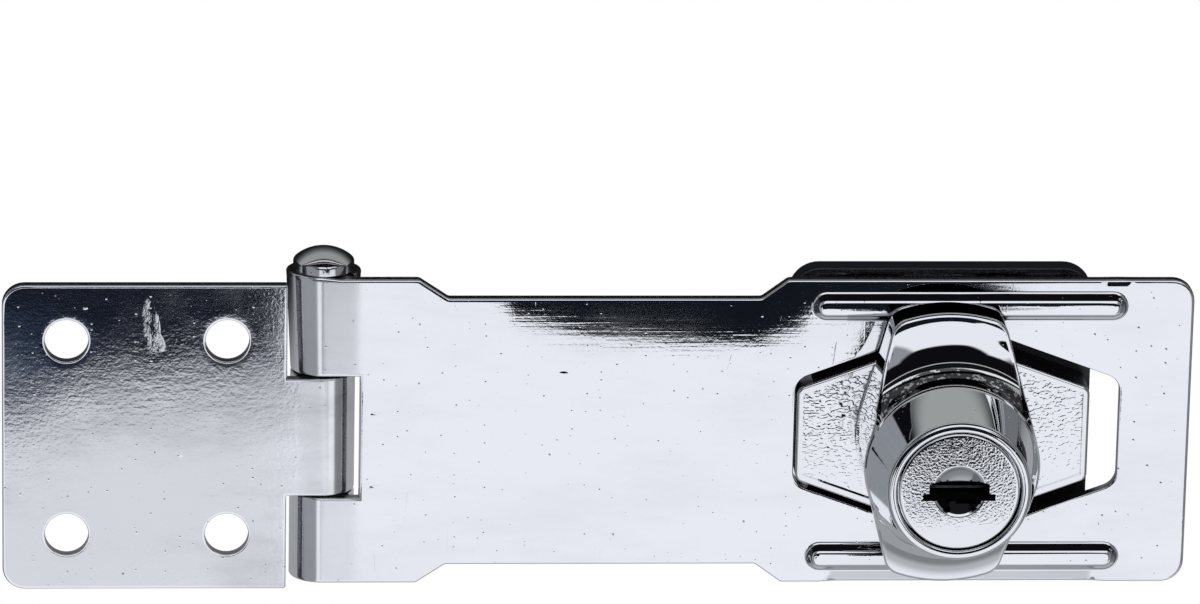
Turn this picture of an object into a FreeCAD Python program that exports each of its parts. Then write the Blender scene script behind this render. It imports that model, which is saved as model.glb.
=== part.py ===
import FreeCAD, Part
import math
import os
from FreeCAD import Vector as V

os.makedirs("parts", exist_ok=True)

# Keyed locking hasp: a hinge leaf, a long slotted strap, a surface-mounted lock
# base that stands through the strap's slot, and a turn knob with a wafer lock.
# Millimetres. Origin: knob axis at the mounting plane. +X runs along the strap
# away from the hinge, +Z is out of the mounting plane.

# ---------------- driving dimensions ----------------
SHEET_T = 1.6          # strap and leaf sheet thickness
SHEET_TOP = 8.6        # outer face of strap and leaf
WIDTH = 42.5           # full width of strap and leaf
CORNER_R = 3.0

HINGE_X = -82.3        # hinge axis
HINGE_Z = 4.3
BARREL_R = 4.3
BORE_R = BARREL_R - SHEET_T
PIN_R = 2.62           # 0.08 running clearance in the leaf's knuckle
CURL_END = 34.0        # how near the curl comes round to the sheet, degrees above level
EDGE_OFF = 4.8         # sheet edges beside the neighbour's knuckles
KNUCKLE_IN = 8.2       # leaf knuckle half length
KNUCKLE_OUT = 8.5      # where the strap's knuckles start, either side of the leaf's
LEAF_Y = -0.75         # the leaf sits a little off the strap's middle along the pin

LEAF_END = -124.7
LEAF_HOLE_X = (-116.2, -95.0)
LEAF_HOLE_Y = 13.55
LEAF_HOLE_R = 2.9

STRAP_END = 33.1
WAIST_HALF = 18.65
WAIST_X = (-69.8, -65.9, -24.5, -21.0)   # slopes down to the waist and up again

SLOT_X = (-19.7, 23.6)
SLOT_END_HALF = 7.35
SLOT_HALF = 13.05
SLOT_SLOPE = 0.37
SLOT_R = 2.4

RIB_Y = 17.6
RIB_X = (-17.9, 24.3)
RIB_HALF = 2.05
RIB_TOP_HALF = 1.15
RIB_H = 1.05
LIP_X = (-15.4, 21.6)  # band outside each rib, bent slightly down
LIP_Y = 19.7
LIP_DROP = 0.45

FLANGE_X = 20.25
FLANGE_Y = 21.1
FLANGE_T = 3.0
FLANGE_R = 4.0
BOSS_X = 19.5
BOSS_END_HALF = 6.4
BOSS_HALF = 12.0
BOSS_TOP = 9.6
SEAT_MARGIN = 1.8      # shoulder under the strap, wider than the slot
RIM_W = 0.85
PANEL_DEPTH = 0.55
LAND_R = 23.75         # plain land under the knob, bounded by two shallow arcs
LAND_OFF = 13.3
CUP_R = 8.65
CUP_FLOOR = 4.0
WEB_BOTTOM = 2.4
RECESS_R = 9.5
SPINDLE_HOLE_R = 5.08
BASE_HOLE_X = 15.5
BASE_HOLE_Y = 16.0
BASE_HOLE_R = 2.1

HUB_R = 8.57
HUB_BOTTOM = 4.5
SPINDLE_R = 5.0
KNOB_BOTTOM = 9.9
KNOB_TIP = 18.8        # half length of the grip
KNOB_TIP_CORNER = 17.3
KNOB_TIP_HALF = 7.4
KNOB_R = 11.6
KNOB_SHOULDER = 23.4
KNOB_FRONT = 32.4
KNOB_FRONT_R = 9.4
FACE_R = 8.05          # counterbore for the plug's head

PLUG_R = 6.40
PLUG_BORE_R = 6.46
PLUG_HEAD_R = 7.92
PLUG_FACE = 32.15
PLUG_HEAD_T = 1.6
PLUG_BOTTOM = 8.75
DISH_R = 3.5
DISH_DEPTH = 0.95
KEY_W = 9.5
KEY_W_UP = 7.9

TAIL_OFF = 1.5
TAIL_R = 1.1
BOLT_Z = (6.0, 8.3)
BOLT_HALF = 3.4
BOLT_TIP = 8.2
BOLT_TRAVEL = 2.0 * TAIL_OFF * math.sin(math.radians(45.0))

WAFER_T = 1.0
WAFER_PITCH = 2.3
WAFER_Z0 = 14.4
WAFER_HALF = 3.6
WAFER_TRAVEL = 0.6


def box(x0, x1, y0, y1, z0, z1):
    return Part.makeBox(x1 - x0, y1 - y0, z1 - z0, V(x0, y0, z0))


def cyl(r, z0, z1, x=0.0, y=0.0):
    return Part.makeCylinder(r, z1 - z0, V(x, y, z0), V(0, 0, 1))


def poly(points, z):
    p = [V(x, y, z) for x, y in points]
    return Part.Wire([Part.makeLine(p[i], p[(i + 1) % len(p)]) for i in range(len(p))])


def prism(points, z0, z1):
    return Part.Face(poly(points, z0)).extrude(V(0, 0, z1 - z0))


def rounded(shape, radius, pick):
    edges = [e for e in shape.Edges if pick(e)]
    return shape.makeFillet(radius, edges) if edges else shape


def upright(e):
    d = e.BoundBox
    return d.XLength < 1e-6 and d.YLength < 1e-6


def stadium(x0, x1, y, r, z):
    a, b = V(x0 + r, y + r, z), V(x1 - r, y + r, z)
    c, d = V(x1 - r, y - r, z), V(x0 + r, y - r, z)
    return Part.Wire([
        Part.makeLine(a, b),
        Part.Arc(b, V(x1, y, z), c).toShape(),
        Part.makeLine(c, d),
        Part.Arc(d, V(x0, y, z), a).toShape(),
    ])


def one(shape):
    s = shape.removeSplitter()
    solids = s.Solids
    return solids[0] if len(solids) == 1 else Part.Compound(solids)


def fillet_try(shape, radius, edges):
    for r in (radius, radius * 0.7, radius * 0.45):
        try:
            s = shape.makeFillet(r, edges)
            if s.isValid() and s.Volume > 0:
                return s
        except Exception:
            pass
    print("fillet left out", radius, len(edges))
    return shape


def save(name, shape):
    s = one(shape)
    s.exportStep("parts/" + name + ".step")
    b = s.BoundBox
    print("%-18s solids %d valid %s vol %.1f  x %.2f..%.2f y %.2f..%.2f z %.2f..%.2f" % (
        name, len(s.Solids), s.isValid(), s.Volume, b.XMin, b.XMax, b.YMin, b.YMax, b.ZMin, b.ZMax))
    return s


# ---------------- hinge knuckles ----------------
def knuckle(side, y0, y1, reach):
    """Sheet rolled round the pin. side -1: sheet comes from +X (strap), +1: from -X (leaf)."""
    def pt(r, deg):
        a = math.radians(deg)
        return V(HINGE_X + side * r * math.cos(a), y0, HINGE_Z + r * math.sin(a))
    # measured from the tangent point at the top, round the far side to the curl's end
    ro, ri = BARREL_R, BORE_R
    end = -180.0 - CURL_END
    mid = (90.0 + end) / 2.0
    top_o, top_i = pt(ro, 90.0), pt(ri, 90.0)
    xe = HINGE_X - side * reach
    far_o = V(xe, y0, SHEET_TOP)
    far_i = V(xe, y0, SHEET_TOP - SHEET_T)
    wire = Part.Wire([
        Part.makeLine(far_o, top_o),
        Part.Arc(top_o, pt(ro, mid), pt(ro, end)).toShape(),
        Part.makeLine(pt(ro, end), pt(ri, end)),
        Part.Arc(pt(ri, end), pt(ri, mid), top_i).toShape(),
        Part.makeLine(top_i, far_i),
        Part.makeLine(far_i, far_o),
    ])
    return Part.Face(wire).extrude(V(0, y1 - y0, 0))


half = WIDTH / 2.0

# ---------------- hinge leaf ----------------
leaf_edge = HINGE_X - EDGE_OFF
leaf = box(LEAF_END, leaf_edge, LEAF_Y - half, LEAF_Y + half, SHEET_TOP - SHEET_T, SHEET_TOP)
leaf = rounded(leaf, CORNER_R, lambda e: upright(e) and e.BoundBox.XMin < LEAF_END + 0.1)
leaf = leaf.fuse(knuckle(+1, LEAF_Y - KNUCKLE_IN, LEAF_Y + KNUCKLE_IN, EDGE_OFF + 1.0))
# relief nicks where the knuckle leaves the sheet
for s in (-1, 1):
    leaf = leaf.cut(cyl(0.45, SHEET_TOP - SHEET_T - 1, SHEET_TOP + 1, leaf_edge, LEAF_Y + s * (KNUCKLE_IN + 0.45)))
for hx in LEAF_HOLE_X:
    for s in (-1, 1):
        leaf = leaf.cut(cyl(LEAF_HOLE_R, 0, 12, hx, LEAF_Y + s * LEAF_HOLE_Y))
save("hinge_leaf", leaf)

# ---------------- hinge pin ----------------
LIP_END = half + 0.25
shank = Part.makeCylinder(PIN_R, LIP_END + half, V(HINGE_X, -half, HINGE_Z), V(0, 1, 0))
# domed head and peened tail: short cylinders cut back by a ball
HEAD_R, HEAD_RIM, HEAD_H = 4.05, 1.35, 2.95


def capped(r, rim, high, y, way):
    h = high - rim
    ball = (r * r + h * h) / (2 * h)
    body = Part.makeCylinder(r, high, V(HINGE_X, y, HINGE_Z), V(0, way, 0))
    return body.common(Part.makeSphere(ball, V(HINGE_X, y + way * (high - ball), HINGE_Z), V(0, way, 0)))


head = capped(HEAD_R, HEAD_RIM, HEAD_H, LIP_END, 1)
tail = capped(3.15, 0.12, 0.55, -half, -1)
save("hinge_pin", shank.fuse([head, tail]))

# ---------------- strap ----------------
edge = HINGE_X + EDGE_OFF
outline = [
    (edge, -half), (WAIST_X[0], -half), (WAIST_X[1], -WAIST_HALF), (WAIST_X[2], -WAIST_HALF),
    (WAIST_X[3], -half), (STRAP_END, -half), (STRAP_END, half), (WAIST_X[3], half),
    (WAIST_X[2], WAIST_HALF), (WAIST_X[1], WAIST_HALF), (WAIST_X[0], half), (edge, half),
]
strap = prism(outline, SHEET_TOP - SHEET_T, SHEET_TOP)
strap = rounded(strap, CORNER_R, lambda e: upright(e) and e.BoundBox.XMin > STRAP_END - 0.1)
strap = rounded(strap, 0.9, lambda e: upright(e) and WAIST_X[0] - 0.1 < e.BoundBox.XMin < WAIST_X[3] + 0.1)

run = (SLOT_HALF - SLOT_END_HALF) / SLOT_SLOPE
slot = prism([
    (SLOT_X[0], -SLOT_END_HALF), (SLOT_X[0] + run, -SLOT_HALF), (SLOT_X[1] - run, -SLOT_HALF),
    (SLOT_X[1], -SLOT_END_HALF), (SLOT_X[1], SLOT_END_HALF), (SLOT_X[1] - run, SLOT_HALF),
    (SLOT_X[0] + run, SLOT_HALF), (SLOT_X[0], SLOT_END_HALF),
], SHEET_TOP - SHEET_T - 1, SHEET_TOP + 2)
slot = rounded(slot, SLOT_R, lambda e: upright(e) and (e.BoundBox.XMin < SLOT_X[0] + 0.1 or e.BoundBox.XMin > SLOT_X[1] - 0.1))
slot = rounded(slot, 4.0, lambda e: upright(e) and abs(abs(e.BoundBox.YMin) - SLOT_HALF) < 0.1)

for s in (-1, 1):
    # outer band bent a little down beside the rib, with ramped ends
    x0, x1 = LIP_X
    y0, y1 = s * LIP_Y, s * (half + 0.5)
    drop = LIP_DROP * (half + 0.5 - LIP_Y) / (half - LIP_Y)

    def band(z, extra):
        a = V(x0, y0, z)
        b = V(x1, y0, z)
        c = V(x0 + 0.6, y1, z)
        d = V(x1 - 0.6, y1, z)
        e = V(x0 + 1.4, y1, z - drop)
        f = V(x1 - 1.4, y1, z - drop)
        # wedge between the flat sheet surface and the bent one
        faces = [
            Part.Face(Part.makePolygon([a, b, d, c, a])),
            Part.Face(Part.makePolygon([a, b, f, e, a])),
            Part.Face(Part.makePolygon([c, d, f, e, c])),
            Part.Face(Part.makePolygon([a, c, e, a])),
            Part.Face(Part.makePolygon([b, d, f, b])),
        ]
        return Part.Solid(Part.Shell(faces))
    top = band(SHEET_TOP, 0)
    low = band(SHEET_TOP - SHEET_T, 0)
    if top.Volume < 0:
        top.reverse()
    if low.Volume < 0:
        low.reverse()
    # the lower wedge stops at the strap's edge
    low = low.common(box(x0 - 1, x1 + 1, -half, half, 0, 20))
    strap = strap.cut(top).fuse(low)

for s in (-1, 1):
    x0, x1 = RIB_X
    base = stadium(x0, x1, s * RIB_Y, RIB_HALF, SHEET_TOP - 0.02)
    mid = stadium(x0 + 0.55, x1 - 0.55, s * RIB_Y, RIB_HALF - 0.55, SHEET_TOP + RIB_H * 0.62)
    crown = stadium(x0 + 1.0, x1 - 1.0, s * RIB_Y, RIB_TOP_HALF, SHEET_TOP + RIB_H)
    rib = Part.makeLoft([base, mid], True, True).fuse(Part.makeLoft([mid, crown], True, True))
    g0 = stadium(x0 + 0.9, x1 - 0.9, s * RIB_Y, RIB_HALF - 0.9, SHEET_TOP - SHEET_T - 0.01)
    g1 = stadium(x0 + 1.35, x1 - 1.35, s * RIB_Y, RIB_HALF - 1.35, SHEET_TOP - SHEET_T + 0.95)
    strap = strap.fuse(rib).cut(Part.makeLoft([g0, g1], True, True))
strap = strap.cut(slot)

# strap knuckles, the upper one with its end swaged out under the pin's head
for s in (-1, 1):
    a, b = (LEAF_Y + KNUCKLE_OUT, half) if s > 0 else (-half, LEAF_Y - KNUCKLE_OUT)
    strap = strap.fuse(knuckle(-1, a, b, EDGE_OFF + 1.0))
lip0 = half - 1.1
swage = Part.makeCylinder(1.0, LIP_END - lip0, V(0, 0, 0), V(0, 1, 0))
m = FreeCAD.Matrix()
m.scale(V(5.0, 1.0, BARREL_R))
swage = swage.transformGeometry(m)
swage.translate(V(HINGE_X, lip0, HINGE_Z))
swage = swage.cut(Part.makeCylinder(BORE_R, 10, V(HINGE_X, lip0 - 2, HINGE_Z), V(0, 1, 0)))
swage_edges = [e for e in swage.Edges if e.BoundBox.YLength < 1e-6 and e.BoundBox.XLength > 8]
swage = fillet_try(swage, 0.45, swage_edges)
strap = strap.fuse(swage)
save("hasp_strap", strap)

# ---------------- lock base ----------------
flange = box(-FLANGE_X, FLANGE_X, -FLANGE_Y, FLANGE_Y, 0, FLANGE_T)
flange = rounded(flange, FLANGE_R, upright)
flange = fillet_try(flange, 0.2, [e for e in flange.Edges if abs(e.BoundBox.ZMin - FLANGE_T) < 1e-6 and abs(e.BoundBox.ZMax - FLANGE_T) < 1e-6])


def hexagon(hx, end_half, full_half):
    r = (full_half - end_half) / SLOT_SLOPE
    return [(-hx, -end_half), (-hx + r, -full_half), (hx - r, -full_half), (hx, -end_half),
            (hx, end_half), (hx - r, full_half), (-hx + r, full_half), (-hx, end_half)]


boss = prism(hexagon(BOSS_X, BOSS_END_HALF, BOSS_HALF), FLANGE_T - 0.5, BOSS_TOP)
boss = rounded(boss, 1.3, lambda e: upright(e) and abs(e.BoundBox.XMin) > BOSS_X - 0.1)
boss = rounded(boss, 3.0, lambda e: upright(e) and abs(abs(e.BoundBox.YMin) - BOSS_HALF) < 0.1)
boss = fillet_try(boss, 0.35, [e for e in boss.Edges if e.BoundBox.ZMin > BOSS_TOP - 1e-6])
# sunk panels either side of the plain land
panel = prism(hexagon(BOSS_X - RIM_W, BOSS_END_HALF - RIM_W + 0.18, BOSS_HALF - RIM_W), BOSS_TOP - PANEL_DEPTH, BOSS_TOP + 1)
panels = []
for s in (-1, 1):
    half_panel = panel.common(box(min(0, s * 30), max(0, s * 30), -20, 20, 0, 20))
    land = Part.makeCylinder(LAND_R, 20, V(-s * LAND_OFF, 0, 0))
    panels.append(half_panel.cut(land))
# shoulder that the strap lies on, following the slot's shape
seat = prism(hexagon(FLANGE_X - 0.25, SLOT_END_HALF + SEAT_MARGIN, SLOT_HALF + SEAT_MARGIN), FLANGE_T - 0.5, SHEET_TOP - SHEET_T)
seat = rounded(seat, 1.5, lambda e: upright(e) and abs(e.BoundBox.XMin) > FLANGE_X - 0.35)
# open channel round the boss under the slot, so that only the rails carry the strap
moat = prism([
    (-17.5, -(SLOT_END_HALF + 0.15 + SLOT_SLOPE * (19.7 - 17.5))), (SLOT_X[0] + run, -SLOT_HALF - 0.15),
    (SLOT_X[1] - run, -SLOT_HALF - 0.15), (SLOT_X[1], -SLOT_END_HALF - 0.15), (SLOT_X[1], SLOT_END_HALF + 0.15),
    (SLOT_X[1] - run, SLOT_HALF + 0.15), (SLOT_X[0] + run, SLOT_HALF + 0.15),
    (-17.5, SLOT_END_HALF + 0.15 + SLOT_SLOPE * (19.7 - 17.5)),
], FLANGE_T, SHEET_TOP)
seat = seat.cut(moat)
base = flange.fuse(seat).fuse(boss).cut(panels[0]).cut(panels[1])
base = base.cut(cyl(CUP_R, CUP_FLOOR, 20))
base = base.cut(cyl(SPINDLE_HOLE_R, -1, 10))
base = base.cut(cyl(RECESS_R, -1, WEB_BOTTOM))


def ring_sector(r0, r1, z0, z1, a0, a1):
    ring = cyl(r1, z0, z1).cut(cyl(r0, z0 - 1, z1 + 1))
    wedge = [V(0, 0, z0)]
    n = max(2, int(abs(a1 - a0) / 30) + 1)
    for i in range(n + 1):
        a = math.radians(a0 + (a1 - a0) * i / n)
        wedge.append(V(4 * r1 * math.cos(a), 4 * r1 * math.sin(a), z0))
    wedge.append(wedge[0])
    return ring.common(Part.Face(Part.makePolygon(wedge)).extrude(V(0, 0, z1 - z0)))


# stop groove in the cup's floor: the knob's lug may swing a quarter turn in it
LUG_HALF = 8.0
LUG_AT = 200.0
base = base.cut(ring_sector(6.0, 8.1, CUP_FLOOR - 0.85, CUP_FLOOR + 0.1, LUG_AT - LUG_HALF - 1.5, LUG_AT + 90 + LUG_HALF + 1.5))
# bolt notches in the cup's wall, for the knob crosswise and in line
base = base.cut(box(7.0, 10.65, -BOLT_HALF - 0.15, BOLT_HALF + 0.15, BOLT_Z[0] - 0.2, BOLT_Z[1] + 0.2))
base = base.cut(box(-BOLT_HALF - 0.15, BOLT_HALF + 0.15, 7.0, 10.65, BOLT_Z[0] - 0.2, BOLT_Z[1] + 0.2))
# cored-out pockets under the boss ends
for s in (-1, 1):
    pocket = box(min(s * 12.2, s * 17.8), max(s * 12.2, s * 17.8), -4.2, 4.2, -1, 7.2)
    pocket = rounded(pocket, 1.0, upright)
    base = base.cut(pocket)
for sx in (-1, 1):
    for sy in (-1, 1):
        x, y = sx * BASE_HOLE_X, sy * BASE_HOLE_Y
        base = base.cut(cyl(BASE_HOLE_R, -1, 5, x, y))
        base = base.cut(Part.makeCone(BASE_HOLE_R, BASE_HOLE_R + 1.7, 1.5, V(x, y, FLANGE_T - 1.45), V(0, 0, 1)))
save("lock_base", base)

# ---------------- knob ----------------


def tangent_flank(sx, sy):
    """Point where the line from a tip corner touches the knob's round."""
    px, py = KNOB_TIP_HALF, KNOB_TIP_CORNER
    d = math.hypot(px, py)
    a = math.atan2(py, px) - math.acos(KNOB_R / d)
    return sx * KNOB_R * math.cos(a), sy * KNOB_R * math.sin(a)


def knob_outline(z):
    tx, ty = tangent_flank(1, 1)
    h, c, t = KNOB_TIP_HALF, KNOB_TIP_CORNER, KNOB_TIP
    return Part.Wire([
        Part.Arc(V(tx, -ty, z), V(KNOB_R, 0, z), V(tx, ty, z)).toShape(),
        Part.makeLine(V(tx, ty, z), V(h, c, z)),
        Part.Arc(V(h, c, z), V(0, t, z), V(-h, c, z)).toShape(),
        Part.makeLine(V(-h, c, z), V(-tx, ty, z)),
        Part.Arc(V(-tx, ty, z), V(-KNOB_R, 0, z), V(-tx, -ty, z)).toShape(),
        Part.makeLine(V(-tx, -ty, z), V(-h, -c, z)),
        Part.Arc(V(-h, -c, z), V(0, -t, z), V(h, -c, z)).toShape(),
        Part.makeLine(V(h, -c, z), V(tx, -ty, z)),
    ])


grip = Part.Face(knob_outline(KNOB_BOTTOM)).extrude(V(0, 0, KNOB_SHOULDER - KNOB_BOTTOM))
grip = rounded(grip, 1.6, lambda e: upright(e) and abs(abs(e.BoundBox.YMin) - KNOB_TIP_CORNER) < 0.1)
# concave saddle turned about the knob's axis, from the tip's edge up to the shoulder
TIP_Z = 15.2
R_OUT = KNOB_TIP + 2.0
sad = [
    Part.makeLine(V(KNOB_R, 0, KNOB_SHOULDER), V(R_OUT, 0, KNOB_SHOULDER)),
    Part.makeLine(V(R_OUT, 0, KNOB_SHOULDER), V(R_OUT, 0, TIP_Z - 0.15)),
    Part.makeLine(V(R_OUT, 0, TIP_Z - 0.15), V(KNOB_TIP, 0, TIP_Z)),
    Part.Arc(V(KNOB_TIP, 0, TIP_Z), V(14.2, 0, 17.3), V(KNOB_R, 0, KNOB_SHOULDER - 0.5)).toShape(),
    Part.makeLine(V(KNOB_R, 0, KNOB_SHOULDER - 0.5), V(KNOB_R, 0, KNOB_SHOULDER)),
]
saddle = Part.Face(Part.Wire(sad)).revolve(V(0, 0, 0), V(0, 0, 1), 360)
grip = grip.cut(saddle)
grip = fillet_try(grip, 0.5, [e for e in grip.Edges if abs(e.BoundBox.ZMin - KNOB_BOTTOM) < 1e-6 and abs(e.BoundBox.ZMax - KNOB_BOTTOM) < 1e-6])

head = Part.makeCone(KNOB_R - 0.25, KNOB_FRONT_R, KNOB_FRONT - KNOB_SHOULDER, V(0, 0, KNOB_SHOULDER), V(0, 0, 1))
head = fillet_try(head, 0.55, [e for e in head.Edges if e.BoundBox.ZMin > KNOB_FRONT - 1e-6 and e.BoundBox.XLength > 5])
knob = grip.fuse(head)
knob = knob.fuse(cyl(HUB_R, HUB_BOTTOM, KNOB_BOTTOM + 0.5)).fuse(cyl(SPINDLE_R, 0.4, HUB_BOTTOM + 0.5))
# stop lug
knob = knob.fuse(ring_sector(6.2, 7.9, CUP_FLOOR - 0.6, HUB_BOTTOM + 0.3, LUG_AT - LUG_HALF, LUG_AT + LUG_HALF))
# plug bore and front counterbore
knob = knob.cut(cyl(PLUG_BORE_R, BOLT_Z[1] + 0.1, 40))
knob = knob.cut(cyl(FACE_R, PLUG_FACE - PLUG_HEAD_T - 0.1, 40))
# bolt pocket, open at the +X side of the hub
knob = knob.cut(box(-5.4, 12.0, -BOLT_HALF - 0.1, BOLT_HALF + 0.1, BOLT_Z[0] - 0.1, BOLT_Z[1] + 0.15))
# wafer grooves along the bore, a quarter turn apart
for k in range(4):
    g = box(0, PLUG_BORE_R + 1.0, -WAFER_HALF - 0.3, WAFER_HALF + 0.3, WAFER_Z0 - 0.6, WAFER_Z0 + 5 * WAFER_PITCH + WAFER_T + 0.6)
    g.rotate(V(0, 0, 0), V(0, 0, 1), 90 * k)
    knob = knob.cut(g)
# groove for the plug's retaining ring
knob = knob.cut(cyl(7.2, 11.9, 12.9))
# spindle groove for the clip
knob = knob.cut(cyl(SPINDLE_R + 1, 0.85, 1.4).cut(cyl(4.4, 0, 2)))
save("knob_shell", knob)

# ---------------- washers and clip under the base's web ----------------
# wave washer, shown pressed nearly flat
save("wave_washer", cyl(8.6, 2.0, 2.38).cut(cyl(5.12, 0, 5)))
save("back_washer", cyl(8.8, 1.42, 2.0).cut(cyl(5.12, 0, 5)))
clip = cyl(7.4, 0.88, 1.38).cut(cyl(4.45, 0, 3)).cut(box(2.0, 9, -3.4, 3.4, 0, 3))
for k in (90, 180, 270):
    clip = clip.cut(cyl(1.1, 0, 3, 5.6 * math.cos(math.radians(k + 45)), 5.6 * math.sin(math.radians(k + 45))))
save("retaining_clip", clip)

# ---------------- plug ----------------
plug = cyl(PLUG_R, PLUG_BOTTOM, PLUG_FACE - PLUG_HEAD_T + 0.2)
headp = cyl(PLUG_HEAD_R, PLUG_FACE - PLUG_HEAD_T, PLUG_FACE)
headp = fillet_try(headp, 0.3, [e for e in headp.Edges if e.BoundBox.ZMin > PLUG_FACE - 1e-6 and e.BoundBox.XLength > 5])
plug = plug.fuse(headp)
# central dish
ball_r = (DISH_R ** 2 + DISH_DEPTH ** 2) / (2 * DISH_DEPTH)
plug = plug.cut(Part.makeSphere(ball_r, V(0, 0, PLUG_FACE - DISH_DEPTH + ball_r)))
# keyway with side wards
KEY_BOTTOM = WAFER_Z0 - 1.2
key = prism([
    (-KEY_W / 2, -1.3), (KEY_W / 2, -1.3), (KEY_W / 2, -0.35), (KEY_W_UP / 2, -0.35),
    (KEY_W_UP / 2, 1.0), (KEY_W_UP / 2 - 1.0, 1.25), (-KEY_W_UP / 2 + 1.0, 1.25), (-KEY_W_UP / 2, 1.0),
    (-KEY_W_UP / 2, -0.35), (-KEY_W / 2, -0.35),
], KEY_BOTTOM, 40)
plug = plug.cut(key)
# wafer slots right across the barrel, and the spring pockets beside them
for i in range(6):
    z = WAFER_Z0 + i * WAFER_PITCH
    plug = plug.cut(box(-8, 8, -WAFER_HALF - 0.08, WAFER_HALF + 0.08, z - 0.05, z + WAFER_T + 0.05))
# ring groove and eccentric tail pin
plug = plug.cut(cyl(8, 12.0, 12.75).cut(cyl(5.8, 11, 13.5)))
a = math.radians(-135)
plug = plug.fuse(cyl(TAIL_R, BOLT_Z[0] + 0.15, PLUG_BOTTOM + 0.3, TAIL_OFF * math.cos(a), TAIL_OFF * math.sin(a)))
save("plug", plug)

ring = cyl(7.05, 12.08, 12.68).cut(cyl(5.85, 10, 14)).cut(box(4, 9, -0.9, 0.9, 10, 14))
save("plug_retainer", ring)

# ---------------- wafers and their springs ----------------
for i in range(6):
    z = WAFER_Z0 + i * WAFER_PITCH
    side = 1 if i % 2 == 0 else -1
    w = box(-8, 8, -WAFER_HALF, WAFER_HALF, z, z + WAFER_T).common(cyl(PLUG_R - 0.03, z - 1, z + 3))
    # inner end stops short so that the wafer can move out by its travel
    lim = PLUG_R - 0.75
    cut = box(-9, -lim, -5, 5, z - 1, z + 3)
    # window for the key's blade
    win = box(-4.2 + 0.25 * (i % 3), 4.3 - 0.2 * (i % 2), -1.55, 1.55, z - 1, z + 3)
    # notch that holds the spring
    nt = box(-3.9, -0.4, 2.2, 5.0, z - 1, z + 3)
    w = w.cut(cut).cut(win).cut(nt)
    if side < 0:
        w.rotate(V(0, 0, 0), V(0, 0, 1), 180)
    save("wafer_%d" % (i + 1), w)
    # small coil spring lying in the notch, along X
    R, wire_r, x0, x1 = 0.36, 0.11, -3.75, -0.55
    turns = 5
    pitch = (x1 - x0 - 2 * wire_r) / turns
    helix = Part.makeHelix(pitch, pitch * turns, R)
    circ = Part.Wire(Part.makeCircle(wire_r, V(R, 0, 0), V(0, 1, pitch / (2 * math.pi * R)).normalize()))
    coil = Part.Wire(helix.Edges).makePipeShell([circ], True, True)
    coil = coil if coil.ShapeType == "Solid" else Part.Solid(coil)
    coil.rotate(V(0, 0, 0), V(0, 1, 0), 90)
    coil.translate(V(x0 + wire_r, 2.95, z + WAFER_T / 2))
    if side < 0:
        coil.rotate(V(0, 0, 0), V(0, 0, 1), 180)
    save("wafer_spring_%d" % (i + 1), coil)

# ---------------- lock bolt ----------------
# slides along X in the hub; the plug's tail pin works in its cross slot
bolt = box(-5.0, BOLT_TIP, -BOLT_HALF, BOLT_HALF, BOLT_Z[0], BOLT_Z[1])
bolt = bolt.common(cyl(BOLT_TIP, BOLT_Z[0] - 1, BOLT_Z[1] + 1))
px0 = -TAIL_OFF * math.sin(math.radians(45.0))
w = TAIL_R + 0.1
y_lo, y_hi = -TAIL_OFF - TAIL_R - 0.25, px0 + TAIL_R + 0.25
bolt = bolt.cut(box(px0 - w, px0 + w, y_lo, y_hi, BOLT_Z[0] - 1, BOLT_Z[1] + 1))
save("lock_bolt", bolt)
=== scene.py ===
import bpy
import bmesh
import math
import numpy as np
from mathutils import Vector, Matrix, geometry, noise


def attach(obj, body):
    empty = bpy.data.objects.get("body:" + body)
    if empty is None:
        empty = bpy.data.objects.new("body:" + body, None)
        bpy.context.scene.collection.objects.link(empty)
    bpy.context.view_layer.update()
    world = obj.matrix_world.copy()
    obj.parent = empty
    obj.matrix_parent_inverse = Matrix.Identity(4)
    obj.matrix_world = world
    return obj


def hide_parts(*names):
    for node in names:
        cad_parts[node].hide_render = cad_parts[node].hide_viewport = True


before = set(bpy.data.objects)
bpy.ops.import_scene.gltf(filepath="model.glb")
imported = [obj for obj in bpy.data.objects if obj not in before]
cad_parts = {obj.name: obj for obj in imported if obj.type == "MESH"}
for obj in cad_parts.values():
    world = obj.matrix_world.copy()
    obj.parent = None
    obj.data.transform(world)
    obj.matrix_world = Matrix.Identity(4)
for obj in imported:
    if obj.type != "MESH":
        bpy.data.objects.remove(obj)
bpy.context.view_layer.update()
MM = 0.001

# ---------------------------------------------------------------- sizes, mm
TOP, T = 8.6, 1.6
HX, HZ, RB = -82.3, 4.3, 4.3
HALF = 21.25
CURL = math.radians(304.0)
EDGE_OFF = 4.8


# ---------------------------------------------------------------- mesh tools
def weigh(o):
    """Flat faces keep flat mirror images right up to their rounded edges."""
    w_ = o.modifiers.new("weighted", "WEIGHTED_NORMAL")
    w_.mode = "FACE_AREA"
    w_.weight = 60
    w_.keep_sharp = True


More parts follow.
